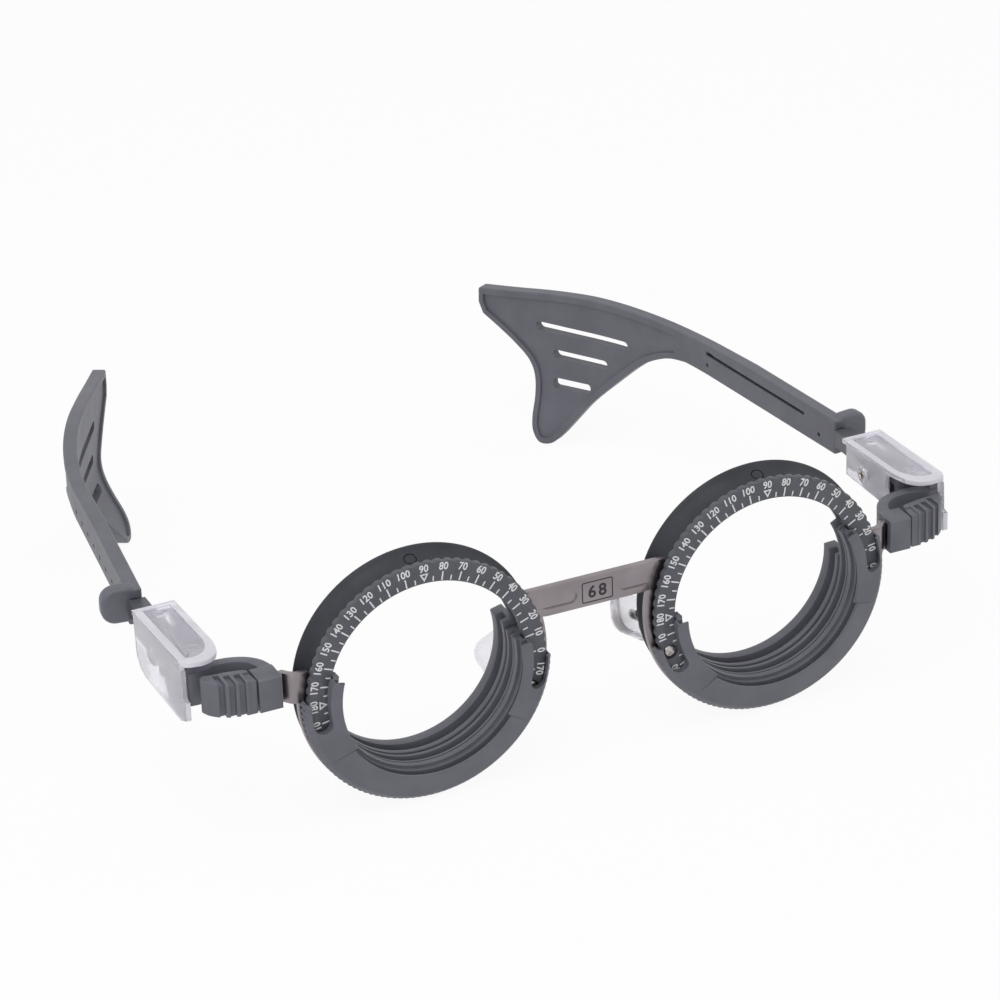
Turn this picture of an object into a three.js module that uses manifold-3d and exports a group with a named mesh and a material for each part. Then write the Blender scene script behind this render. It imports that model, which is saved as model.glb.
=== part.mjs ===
// Optical trial frame for one pupil distance, with turning lens carriers and folding, sliding temples
// Millimetres, +Z up, +Y from the front towards the ears, +X towards the wearer's left
// The origin is the centre of the bridge's front face

import * as THREE from 'three';
import { mergeVertices } from 'three/addons/utils/BufferGeometryUtils.js';
import Module from 'manifold-3d';

const wasm = await Module();
wasm.setup();

// Driving dimensions
const pupilDistance = 68;
const lensDiameter = 38;
const templeLength = 109;
const clearance = 0.3;
const overrunLength = 1;
const halfTurn = 180;
const ringSegments = 40;
const pinSegments = 14;
const screwSegments = 10;
const arcSteps = 3;
const smallArcSteps = 2;
const forkSteps = 6;
const armBends = 8;

// Lens grooves, which the rings round them are built out from
const eyeX = pupilDistance / 2;
const lensRadius = lensDiameter / 2;
const lipWidth = 1.5;
const lensPlay = 0.05;
const grooveWallThickness = 0.95;
const grooveRadius = lensRadius + lensPlay;
const lipRadius = lensRadius - lipWidth;
const cellRadius = grooveRadius + grooveWallThickness;
const keeperWidth = 0.7;
const keeperInnerRadius = cellRadius - keeperWidth;

// Rear shell with its dished flange, behind the dial
const dialThickness = 1.2;
const shellFront = dialThickness + clearance;
const shellWallThickness = 1.3;
const shellBoreRadius = cellRadius + clearance;
const shellNeckRadius = shellBoreRadius + shellWallThickness;
const shellNeckLength = 2.1;
const shellLength = 5.7;
const shellNeckBack = shellFront + shellNeckLength;
const flangeWidth = 1.8;
const flangeThickness = 0.6;
const flangeDishWidth = 0.9;
const flangeDishLength = 2;
const flangeRadius = shellNeckRadius + flangeWidth;
const flangeBack = shellFront + shellLength;

// Dial ring with its scalloped edge
const dialPlay = 0.09;
const dialInset = 0.3;
const dialBoreRadius = lensRadius + dialPlay;
const dialRadius = flangeRadius - dialInset;
const scallopDepth = 0.3;
const scallopCount = 72;
const scallopSteps = 2;

// Screws that hold the dial to the rear shell
const screwAngles = [200, 270, 340];
const screwInset = 1;
const screwCircleRadius = shellBoreRadius + screwInset;
const screwHeadRadius = 1.2;
const screwHeadDepth = 0.1;
const screwHeadThickness = 0.45;
const screwHeadBack = screwHeadDepth + screwHeadThickness;
const screwShankRadius = 0.35;
const screwLength = 3.5;
const screwPlay = 0.2;
const screwBack = screwHeadDepth + screwLength;
const bossRadius = 1.2;
const bossLength = 3;

// Steel front plate: half rings, raised bridge and lugs
const bridgeFront = shellFront + clearance;
const bridgeStepHeight = 0.2;
const bridgeFaceLength = 19;
const plateThickness = 1.2;
const plateFront = bridgeFront + bridgeStepHeight;
const plateBack = plateFront + plateThickness;
const plateWidth = 2.2;
const plateInnerRadius = shellNeckRadius + clearance;
const plateOuterRadius = plateInnerRadius + plateWidth;
const bridgeBottom = 5.4;
const bridgeHeight = 6.2;
const bridgeTop = bridgeBottom + bridgeHeight;
const bridgeMiddle = bridgeBottom + bridgeHeight / 2;
const lugBottom = 0.4;
const lugHeight = 5.8;
const lugTop = lugBottom + lugHeight;
const tongueInset = 0.8;
const tongueLength = 3.4;
const lugOverlap = 2.1;
const lugBendGap = 0.5;
const lugBendLength = 1.7;
const lugBendThickness = 0.5;
const lugLength = 2.8;
const lugRootX = plateOuterRadius - lugOverlap;
const lugBendX = plateOuterRadius + lugBendGap;
const clipX = plateOuterRadius + lugLength;
const lugEndX = clipX + tongueLength;

// Turning lens carrier, front half
const carrierTurns = { left: 15, right: -2.5 };
const frontLipThickness = 0.6;
const frontGrooveWidth = 1.2;
const grooveGap = 1.1;
const carrierGrooveBack = clearance - grooveGap;
const carrierGrooveFront = carrierGrooveBack - frontGrooveWidth;
const carrierFront = carrierGrooveFront - frontLipThickness;
const carrierEdgeWidth = 0.9;
const carrierChamfer = 0.3;
const carrierSlopeDepth = 1.4;
const carrierRimWidth = 1.1;
const carrierRimDepth = 1.3;
const webStepWidth = 0.5;
const webRadius = dialBoreRadius - clearance;
const skirtInnerRadius = dialRadius + clearance;
const skirtThickness = 0.6;
const toothTipRadius = skirtInnerRadius + skirtThickness;
const toothDepth = 0.25;
const toothAngle = 3;
const skirtOverlap = 0.2;
const skirtBack = dialThickness + skirtOverlap;
const skirtHalfArc = 90;
const forkHalfArc = 74;
const fingerHalfArc = 103;
const fingerTipArc = 1.6;
const fingerWallThickness = 0.6;
const forkInset = 0.5;
const fingerOuterRadius = grooveRadius + fingerWallThickness;
const forkOuterRadius = skirtInnerRadius - forkInset;
const forkRadius = (forkOuterRadius - fingerOuterRadius) / 2;
const forkMiddleRadius = fingerOuterRadius + forkRadius;

// Turning lens carrier, rear half behind the dial
const keeperThickness = 1.1;
const keeperBack = shellFront + keeperThickness;
const rearLipFront = shellFront + clearance;
const rearLipThickness = 0.5;
const rearGrooveWidth = 1.6;
const rearWallThickness = 0.9;
const rearLipBack = rearLipFront + rearLipThickness;
const rearGrooveBack = rearLipBack + rearGrooveWidth;
const carrierBack = rearGrooveBack + rearWallThickness;

// Fixed rear lens cell
const cellFront = carrierBack + clearance;
const cellRingThickness = 1.1;
const cellWallThickness = 1.3;
const cellGrooveWidth = 2.2;
const cellBackThickness = 2.4;
const cellChamfer = 0.4;
const cellNoseAngle = 166;
const cellTempleAngle = 362;
const cellRingBack = cellFront + cellRingThickness;
const cellGrooveFront = cellFront + cellWallThickness;
const cellGrooveBack = cellGrooveFront + cellGrooveWidth;
const cellBack = cellGrooveBack + cellBackThickness;

// Nose pads and their arms
const padLength = 12;
const padWidth = 8;
const padThickness = 2;
const padCornerRadius = 3;
const padInset = 2.2;
const padSetback = 6.3;
const padDrop = 6;
const padFacing = new THREE.Vector3(0.587, -0.674, 0.45).normalize();
const padAlong = new THREE.Vector3(0.755, 0.257, -0.6);
const padArmRadius = 0.8;
const padArmBendLength = 1;
const padFootAngle = 197;
const padFootHalfArc = 5;
const padFootThickness = 1;
const padFootWidth = 2;
const padFootRadius = (shellBoreRadius + flangeRadius) / 2;
const padCentre = new THREE.Vector3(padInset - flangeRadius, flangeBack + padSetback, -padDrop);

// End clip: lug block, rear band, hinge post and knuckle
const clipInset = 0.2;
const clipLength = 14.4;
const clipDepth = 10.85;
const clipFront = plateFront + clipInset;
const clipBack = clipFront + clipDepth;
const clipBottom = 0.2;
const clipHeight = 6.4;
const clipTop = clipBottom + clipHeight;
const clipBlockLength = 4.3;
const clipBlockDepth = 4.6;
const clipBlockRise = 0.5;
const clipBlockChamfer = 0.8;
const clipBlockTop = clipTop + clipBlockRise;
const bandOuterShares = [
  [0, 0.387], [0.069, 0.654], [0.201, 0.848], [0.375, 0.959], [0.549, 1], [0.771, 0.991], [0.924, 0.922],
];
const bandEndShares = [[1, 0.85], [1, 0.74]];
const bandInnerShares = [
  [0.882, 0.728], [0.722, 0.783], [0.556, 0.829], [0.361, 0.774], [0.236, 0.645], [0.181, 0.479],
];
const postWidth = 1.7;
const postDepth = 2.6;
const postInset = 1.4;
const postHeight = 7.4;

// Grip lever on the front of the clip
const leverLength = 8.8;
const leverDepth = 6;
const leverHeight = 6.8;
const leverShares = [
  [0, 0.017], [0.182, 0.033], [0.398, 0.083], [0.614, 0.183], [0.807, 0.367], [0.932, 0.567],
  [1, 0.833], [0.932, 0.983], [0.761, 0.933], [0.432, 0.883], [0.125, 0.783], [0.045, 0.733],
];
const leverGrooveWidth = 0.7;
const leverGrooveDepth = 0.5;
const leverGrooveLength = 3.4;
const leverGrooveShares = [[0.29, 0.05], [0.51, 0.12], [0.71, 0.26]];

// Fold pin, between the clip's knuckle and the hinge block's lugs
const pinRadius = 0.8;
const pinPlay = 0.2;
const knuckleRadius = 2.2;
const knuckleInset = 2.7;
const knuckleHeight = 2.4;
const knuckleBottom = clipBottom + knuckleInset;
const knuckleTop = knuckleBottom + knuckleHeight;
const hingeWebWidth = 1.8;
const pinBottom = 0.4;
const pinLength = 7.4;

// Clear hinge cover
const coverWidth = 8.2;
const coverLength = 26.1;
const coverInnerWidth = 4;
const coverFrontLength = 8.7;
const coverThickness = 0.9;
const lidFrontHeight = 9.6;
const lidRearHeight = 8.1;
const lidShares = [
  [0, 1], [0, 0.268], [0.085, 0.119], [0.293, 0.027], [0.585, 0], [0.89, 0.027], [1, 0.088], [1, 1],
];
const outerWallDrop = 3.1;
const outerWallShares = [
  [0.977, 1], [0.96, 0.24], [0.9, 0.08], [0.815, 0], [0.126, 0.01],
  [0, 0.14], [0, 0.47], [0.05, 0.5], [0.057, 1],
];
const innerWallStart = 0.6;
const innerWallLength = 15.2;
const innerWallBottom = 1.2;
const pinInset = 2.73;
const pinGap = 0.15;
const pinX = clipX + clipLength - pinInset;
const pinY = clipBack + coverInnerWidth + pinGap;
const coverInnerX = pinX - coverInnerWidth;
const coverOuterX = coverInnerX + coverWidth;
const coverFront = pinY - coverFrontLength;
const coverBack = coverFront + coverLength;

// Tilt screw through the cover and the slider's head
const tiltLength = 9;
const tiltHeight = 4.1;
const tiltHeadRadius = 1.4;
const tiltHeadThickness = 0.5;
const tiltShankRadius = 0.8;
const tiltY = pinY + tiltLength;

// Hinge block inside the cover
const lugRadius = 2.6;
const blockBottom = 0.9;
const blockHeight = 6.5;
const blockTop = blockBottom + blockHeight;
const headRadius = 3.1;
const crossDepth = 2.4;
const crossGap = 0.5;
const crossBack = tiltY - headRadius - crossGap;
const crossFront = crossBack - crossDepth;

// Slider: head on the tilt screw, neck, and bar inside the temple
const neckWidth = 3.4;
const neckBottom = 2.2;
const neckHeight = 3.4;
const neckGap = 0.8;
const barThickness = 1;
const barBottom = 1.95;
const barHeight = 3.1;
const barLength = 45;

// Temple arm, measured along its outer face
const armOutset = 1.63;
const armSetback = 28.3;
const armFrontLength = 2;
const armThickness = 2.8;
const armHeight = 7.2;
const armAngle = 7;
const armEndAngle = 28.5;
const armStraightLength = 41;
const armBendLength = 38;
const armStepLength = 11;
const finDepth = 27.3;
const finEdgeShares = [
  [0.459, 0], [0.511, -0.04], [0.564, -0.136], [0.605, -0.253], [0.663, -0.462], [0.706, -0.634],
  [0.734, -0.788], [0.755, -0.901], [0.776, -0.982], [0.803, -1], [0.82, -0.923], [0.828, -0.824],
  [0.834, -0.678], [0.847, -0.531], [0.868, -0.418], [0.9, -0.319], [0.936, -0.231], [0.973, -0.15],
];
const tipShares = [[0.983, -0.06], [0.982, 0.06]];
const topEdgeShares = [
  [0.899, 0.42], [0.817, 0.625], [0.734, 0.778], [0.661, 0.833],
  [0.55, 0.861], [0.44, 0.889], [0.349, 0.944], [0.257, 1],
];
const curlStartDepth = 11;
const curlDepth = 6;
const finBorderWidth = 1.4;
const finRecessDepth = 0.5;
const finPanelLength = 53.5;
const finSlotRadius = 0.95;
const finSlotShares = [
  { from: [0.632, -0.088], to: [0.837, -0.126] },
  { from: [0.685, -0.306], to: [0.798, -0.328] },
  { from: [0.723, -0.54], to: [0.794, -0.555] },
];
const cavityThickness = 1.6;
const cavityBottom = 1.6;
const cavityHeight = 3.8;
const cavityLength = 43;
const cavityTop = cavityBottom + cavityHeight;
const rulerSlotStart = 8.3;
const rulerSlotLength = 34.2;
const rulerSlotBottom = 4.45;
const rulerSlotHeight = 0.7;
const detentStart = 11.5;
const detentSpacing = 5;
const detentCount = 7;
const detentHeight = 2.3;
const detentRadius = 0.5;
const detentSegments = 8;
const tabWidth = 5.3;
const tabLength = 2.8;
const tabBottom = 0.6;
const tabHeight = 7.3;
const tabCornerRadius = 1.6;

// Finishes
function finish(color, roughness, metalness, opacity = 1) {
  return new THREE.MeshStandardMaterial({ color, roughness, metalness, opacity, transparent: opacity < 1 });
}

const finishes = {
  grey: finish(0x5d5e67, 0.5, 0),
  dial: finish(0x4a4c53, 0.45, 0),
  shell: finish(0x3f4147, 0.5, 0),
  steel: finish(0x8f868a, 0.35, 1),
  clear: finish(0xe6e4ee, 0.15, 0, 0.4),
  silicone: finish(0xe9e8ee, 0.35, 0, 0.5),
};

// Turns a geometry's faces outward when its signed volume is negative
function outward(geometry) {
  const plain = geometry.clone();
  plain.deleteAttribute('normal');
  plain.deleteAttribute('uv');
  const merged = mergeVertices(plain);
  const position = merged.getAttribute('position');
  const index = merged.getIndex();
  const corner = [new THREE.Vector3(), new THREE.Vector3(), new THREE.Vector3()];
  let volume = 0;
  for (let i = 0; i < index.count; i += 3) {
    corner.forEach((point, k) => point.fromBufferAttribute(position, index.getX(i + k)));
    volume += corner[0].dot(corner[1].clone().cross(corner[2]));
  }
  if (volume < 0) {
    for (let i = 0; i < index.count; i += 3) {
      const first = index.getX(i);
      index.setX(i, index.getX(i + 1));
      index.setX(i + 1, first);
    }
  }
  return merged;
}

function toSolid(geometry) {
  const closed = outward(geometry);
  return new wasm.Manifold(new wasm.Mesh({
    numProp: 3,
    vertProperties: Float32Array.from(closed.getAttribute('position').array),
    triVerts: Uint32Array.from(closed.getIndex().array),
  }));
}

function toGeometry(solid) {
  const mesh = solid.getMesh();
  const geometry = new THREE.BufferGeometry();
  geometry.setAttribute('position', new THREE.BufferAttribute(mesh.vertProperties, 3));
  geometry.setIndex(new THREE.BufferAttribute(mesh.triVerts, 1));
  return geometry;
}

// A flat outline pushed along one axis, between two stations on it
const axisBases = {
  x: [new THREE.Vector3(0, 1, 0), new THREE.Vector3(0, 0, 1), new THREE.Vector3(1, 0, 0)],
  y: [new THREE.Vector3(1, 0, 0), new THREE.Vector3(0, 0, 1), new THREE.Vector3(0, -1, 0)],
  z: [new THREE.Vector3(1, 0, 0), new THREE.Vector3(0, 1, 0), new THREE.Vector3(0, 0, 1)],
};

function slab(shape, axis, from, to, curveSegments = ringSegments) {
  const geometry = new THREE.ExtrudeGeometry(shape, { depth: to - from, bevelEnabled: false, curveSegments });
  geometry.translate(0, 0, axis === 'y' ? -to : from);
  geometry.applyMatrix4(new THREE.Matrix4().makeBasis(...axisBases[axis]));
  return toSolid(geometry);
}

function block(low, high) {
  const size = high.map((value, i) => value - low[i]);
  const geometry = new THREE.BoxGeometry(...size);
  geometry.translate(...low.map((value, i) => value + size[i] / 2));
  return toSolid(geometry);
}

// A ring or turned piece about the optical axis, from [radius, station] points
function turned(profile, segments = ringSegments) {
  const points = [...profile, profile[0]].map(([radius, station]) => new THREE.Vector2(radius, station));
  return new THREE.LatheGeometry(points, segments);
}

// A turned piece whose profile starts and ends on its axis
function spindle(profile, segments = pinSegments) {
  const points = profile.map(([radius, station]) => new THREE.Vector2(radius, station));
  return new THREE.LatheGeometry(points, segments);
}

function rod(radius, axis, from, to, [a, b], segments = pinSegments) {
  const shape = new THREE.Shape().absarc(a, b, radius, 0, 2 * Math.PI);
  return slab(shape, axis, from, to, segments / 2);
}

function polar(radius, degrees) {
  const angle = THREE.MathUtils.degToRad(degrees);
  return new THREE.Vector2(radius * Math.cos(angle), radius * Math.sin(angle));
}

function arcPoints(radius, from, to, count) {
  return Array.from({ length: count + 1 }, (_, i) => polar(radius, from + ((to - from) * i) / count));
}

function sector(inner, outer, from, to) {
  const count = Math.ceil((Math.abs(to - from) * ringSegments) / 360);
  return new THREE.Shape([...arcPoints(outer, from, to, count), ...arcPoints(inner, to, from, count)]);
}

// Points given as shares of a size, laid out from a corner
function spread(shares, [x, y], [width, depth]) {
  return shares.map(([a, b]) => new THREE.Vector2(x + a * width, y + b * depth));
}

// A straight slot or strip with round ends
function capsule(from, to, radius) {
  const angle = Math.atan2(to.y - from.y, to.x - from.x);
  const shape = new THREE.Shape();
  shape.absarc(to.x, to.y, radius, angle - Math.PI / 2, angle + Math.PI / 2, false);
  shape.absarc(from.x, from.y, radius, angle + Math.PI / 2, angle + 1.5 * Math.PI, false);
  return shape;
}

function roundedRectangle(width, height, corner) {
  const x = width / 2 - corner;
  const y = height / 2 - corner;
  const shape = new THREE.Shape();
  shape.absarc(x, y, corner, 0, Math.PI / 2, false);
  shape.absarc(-x, y, corner, Math.PI / 2, Math.PI, false);
  shape.absarc(-x, -y, corner, Math.PI, 1.5 * Math.PI, false);
  shape.absarc(x, -y, corner, 1.5 * Math.PI, 2 * Math.PI, false);
  return shape;
}

function mirrored(geometry) {
  return outward(geometry.clone().scale(-1, 1, 1));
}

// Dial ring, fixed, with seats for its screws
function dialRing() {
  const steps = scallopCount * scallopSteps;
  const rim = Array.from({ length: steps }, (_, i) => {
    const wave = (1 - Math.cos((2 * Math.PI * i) / scallopSteps)) / 2;
    return polar(dialRadius - scallopDepth * wave, (360 * i) / steps);
  });
  const shape = new THREE.Shape(rim);
  shape.holes.push(new THREE.Path(arcPoints(dialBoreRadius, 0, 360, ringSegments).slice(1)));
  const seat = [
    [0, -overrunLength],
    [screwHeadRadius + clearance, -overrunLength],
    [screwHeadRadius + clearance, screwHeadBack + screwPlay],
    [screwShankRadius + screwPlay, screwHeadBack + screwPlay],
    [screwShankRadius + screwPlay, dialThickness + overrunLength],
    [0, dialThickness + overrunLength],
  ];
  let ring = slab(shape, 'y', 0, dialThickness);
  for (const angle of screwAngles) {
    const centre = polar(screwCircleRadius, angle);
    ring = ring.subtract(toSolid(spindle(seat, screwSegments).translate(centre.x, 0, centre.y)));
  }
  return ring;
}

function dialScrew() {
  const screw = [
    [0, screwHeadDepth],
    [screwHeadRadius, screwHeadDepth],
    [screwHeadRadius, screwHeadBack],
    [screwShankRadius, screwHeadBack],
    [screwShankRadius, screwBack],
    [0, screwBack],
  ];
  return toSolid(spindle(screw, screwSegments));
}

// Rear shell: neck behind the dial, screw bosses and the dished light shield
function rearShell() {
  const dish = [
    [shellBoreRadius, shellFront],
    [shellNeckRadius, shellFront],
    [shellNeckRadius, shellNeckBack],
    [shellNeckRadius + flangeDishWidth, shellNeckBack + flangeDishLength],
    [flangeRadius, flangeBack - flangeThickness],
    [flangeRadius, flangeBack],
    [shellBoreRadius, flangeBack],
  ];
  let shell = toSolid(turned(dish));
  for (const angle of screwAngles) {
    const centre = polar(screwCircleRadius, angle);
    const place = [centre.x, centre.y];
    const bossBack = shellFront + bossLength;
    const bore = rod(
      shellBoreRadius, 'y', shellFront - overrunLength, bossBack + overrunLength, [0, 0], ringSegments);
    const boss = rod(bossRadius, 'y', shellFront, bossBack, place).subtract(bore);
    const pilotRadius = screwShankRadius + screwPlay;
    const pilot = rod(pilotRadius, 'y', shellFront - overrunLength, screwBack + clearance, place);
    shell = shell.add(boss).subtract(pilot);
  }
  return shell;
}

// Front half of the turning carrier: dished face, knurled skirt and forked finger ends
function carrierOutline() {
  const middle = 270;
  const teeth = Math.round((2 * skirtHalfArc) / toothAngle);
  const points = [];
  for (let i = 0; i < teeth; i += 1) {
    const angle = middle - skirtHalfArc + i * toothAngle;
    points.push(polar(toothTipRadius - toothDepth, angle), polar(toothTipRadius, angle + toothAngle / 2));
  }
  points.push(polar(toothTipRadius - toothDepth, middle + skirtHalfArc));
  const innerEdge = arcPoints(
    lipRadius - overrunLength, middle + fingerHalfArc, middle - fingerHalfArc, ringSegments / 2);
  for (const side of [1, -1]) {
    const forkEndArc = THREE.MathUtils.radToDeg(forkRadius / forkMiddleRadius);
    const forkAngle = middle + side * (forkHalfArc + forkEndArc);
    const forkCentre = polar(forkMiddleRadius, forkAngle);
    const forkEnd = arcPoints(forkRadius, forkAngle, forkAngle - side * halfTurn, forkSteps);
    const tipAngle = middle + side * (fingerHalfArc - fingerTipArc);
    const fork = [
      ...arcPoints(forkOuterRadius, middle + side * skirtHalfArc, forkAngle, arcSteps),
      ...forkEnd.slice(1, -1).map((point) => point.add(forkCentre)),
      ...arcPoints(fingerOuterRadius, forkAngle, tipAngle, forkSteps),
      polar(fingerOuterRadius - lipWidth / 2, middle + side * fingerHalfArc),
    ];
    points.push(...(side > 0 ? [...fork, ...innerEdge] : fork.reverse()));
  }
  return new THREE.Shape(points);
}

function lensCarrier() {
  const crease = carrierFront + carrierSlopeDepth;
  const creaseRadius = toothTipRadius - carrierRimWidth;
  const outerRadius = toothTipRadius + overrunLength;
  const rim = crease + (outerRadius - creaseRadius) * carrierRimDepth / carrierRimWidth;
  const profile = [
    [lipRadius, carrierFront + carrierChamfer],
    [lipRadius + carrierChamfer, carrierFront],
    [lipRadius + carrierEdgeWidth, carrierFront],
    [creaseRadius, crease],
    [outerRadius, rim],
    [outerRadius, skirtBack],
    [skirtInnerRadius, skirtBack],
    [skirtInnerRadius, -clearance],
    [webRadius, -clearance],
    [webRadius, shellFront],
    [lipRadius, shellFront],
    [lipRadius, clearance],
    [lipRadius + webStepWidth, clearance],
    [lipRadius + webStepWidth, carrierGrooveBack],
    [grooveRadius, carrierGrooveBack],
    [grooveRadius, carrierGrooveFront],
    [lipRadius, carrierGrooveFront],
  ];
  const outline = slab(carrierOutline(), 'y', carrierFront - overrunLength, plateFront);
  return toSolid(turned(profile)).intersect(outline);
}

// Rear half of the carrier: a full keeper ring with a half-round lens groove
function carrierKeeper() {
  const middle = 270;
  const ring = [
    [keeperInnerRadius, shellFront],
    [cellRadius, shellFront],
    [cellRadius, keeperBack],
    [keeperInnerRadius, keeperBack],
  ];
  const groove = [
    [lipRadius, rearLipFront],
    [cellRadius, rearLipFront],
    [cellRadius, carrierBack],
    [lipRadius, carrierBack],
    [lipRadius, rearGrooveBack],
    [grooveRadius, rearGrooveBack],
    [grooveRadius, rearLipBack],
    [lipRadius, rearLipBack],
  ];
  const reach = sector(
    lipRadius - overrunLength, cellRadius + overrunLength, middle - fingerHalfArc, middle + fingerHalfArc);
  const half = toSolid(turned(groove)).intersect(slab(reach, 'y', shellFront, carrierBack + overrunLength));
  return toSolid(turned(ring)).add(half);
}

// Fixed rear cell: a ring in the shell's bore with a half-round lens groove behind it
function rearCell() {
  const ring = [
    [keeperInnerRadius, cellFront],
    [cellRadius, cellFront],
    [cellRadius, cellRingBack],
    [keeperInnerRadius, cellRingBack],
  ];
  const groove = [
    [lipRadius, cellFront + clearance],
    [cellRadius, cellFront + clearance],
    [cellRadius, cellBack],
    [lipRadius + cellChamfer, cellBack],
    [lipRadius, cellBack - cellChamfer],
    [lipRadius, cellGrooveBack],
    [grooveRadius, cellGrooveBack],
    [grooveRadius, cellGrooveFront],
    [lipRadius, cellGrooveFront],
  ];
  const reach = sector(lipRadius - overrunLength, cellRadius + overrunLength, cellNoseAngle, cellTempleAngle);
  const half = toSolid(turned(groove)).intersect(slab(reach, 'y', cellFront, cellBack + overrunLength));
  return toSolid(turned(ring)).add(half);
}

// Steel plate: both lower half rings, the bridge, and the lugs bent back into the end clips
function frontPlate() {
  const noseAngle = halfTurn - THREE.MathUtils.radToDeg(Math.asin(bridgeTop / plateOuterRadius));
  const templeAngle = 360 + THREE.MathUtils.radToDeg(Math.asin(lugTop / plateOuterRadius));
  const ring = sector(plateInnerRadius, plateOuterRadius, noseAngle, templeAngle);
  let half = slab(ring, 'y', plateFront, plateBack);
  for (const angle of screwAngles) {
    const centre = polar(screwCircleRadius, angle);
    const place = [centre.x, centre.y];
    half = half.subtract(
      rod(bossRadius + clearance, 'y', plateFront - overrunLength, plateBack + overrunLength, place));
  }
  const lug = new THREE.Shape([
    new THREE.Vector2(lugRootX, plateFront),
    new THREE.Vector2(lugBendX, plateFront),
    new THREE.Vector2(lugBendX + lugBendLength, plateFront + lugBendLength),
    new THREE.Vector2(lugEndX, plateFront + lugBendLength),
    new THREE.Vector2(lugEndX, plateBack + lugBendLength),
    new THREE.Vector2(lugBendX + lugBendLength - lugBendThickness, plateBack + lugBendLength),
    new THREE.Vector2(lugBendX - lugBendThickness, plateBack),
    new THREE.Vector2(lugRootX, plateBack),
  ]);
  const outside = block(
    [lugRootX, plateFront - overrunLength, lugBottom],
    [clipX - clearance, plateBack + lugBendLength + overrunLength, lugTop]);
  const tongue = slab(lug, 'z', lugBottom + tongueInset, lugTop - tongueInset);
  half = half.add(slab(lug, 'z', lugBottom, lugTop).intersect(outside)).add(tongue);
  half = toSolid(toGeometry(half).translate(eyeX, 0, 0));
  const other = toSolid(mirrored(toGeometry(half)));
  const bridgeReach = eyeX - Math.sqrt(plateOuterRadius ** 2 - bridgeTop ** 2) + plateThickness;
  let bridge = block([-bridgeReach, plateFront, bridgeBottom], [bridgeReach, plateBack, bridgeTop]);
  for (const x of [eyeX, -eyeX]) {
    bridge = bridge.subtract(
      rod(plateInnerRadius, 'y', plateFront - overrunLength, plateBack + overrunLength,
        [x, 0], ringSegments));
  }
  const face = block(
    [-bridgeFaceLength / 2, bridgeFront, bridgeBottom], [bridgeFaceLength / 2, plateBack, bridgeTop]);
  return half.add(other).add(bridge).add(face);
}

// Nose pad and the short arm that carries it on the flange
function padFrame() {
  const along = padAlong.clone().addScaledVector(padFacing, -padAlong.dot(padFacing)).normalize();
  const across = new THREE.Vector3().crossVectors(padFacing, along);
  const frame = new THREE.Matrix4().makeBasis(along, across, padFacing);
  return frame.setPosition(padCentre);
}

function nosePad() {
  const geometry = new THREE.ExtrudeGeometry(roundedRectangle(padLength, padWidth, padCornerRadius), {
    depth: padThickness, bevelEnabled: false, curveSegments: smallArcSteps,
  });
  return toSolid(geometry.translate(0, 0, -padThickness / 2).applyMatrix4(padFrame()));
}

function padArm() {
  const foot = polar(padFootRadius, padFootAngle);
  const footFront = flangeBack + clearance;
  const footBack = footFront + padFootThickness;
  const footShape = sector(padFootRadius - padFootWidth / 2, padFootRadius + padFootWidth / 2,
    padFootAngle - padFootHalfArc, padFootAngle + padFootHalfArc);
  const seat = new THREE.Vector3(0, 0, padThickness / 2 + clearance).applyMatrix4(padFrame());
  const start = new THREE.Vector3(foot.x, (footFront + footBack) / 2, foot.y);
  const rise = new THREE.Vector3(foot.x, footBack + padArmBendLength, foot.y);
  const turn = seat.clone().addScaledVector(padFacing, padArmBendLength);
  const path = new THREE.CatmullRomCurve3([start, rise, turn, seat]);
  const round = new THREE.Shape().absarc(0, 0, padArmRadius, 0, 2 * Math.PI);
  const arm = new THREE.ExtrudeGeometry(round, {
    steps: armBends, extrudePath: path, curveSegments: arcSteps,
  });
  return slab(footShape, 'y', footFront, footBack).add(toSolid(arm));
}

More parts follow.
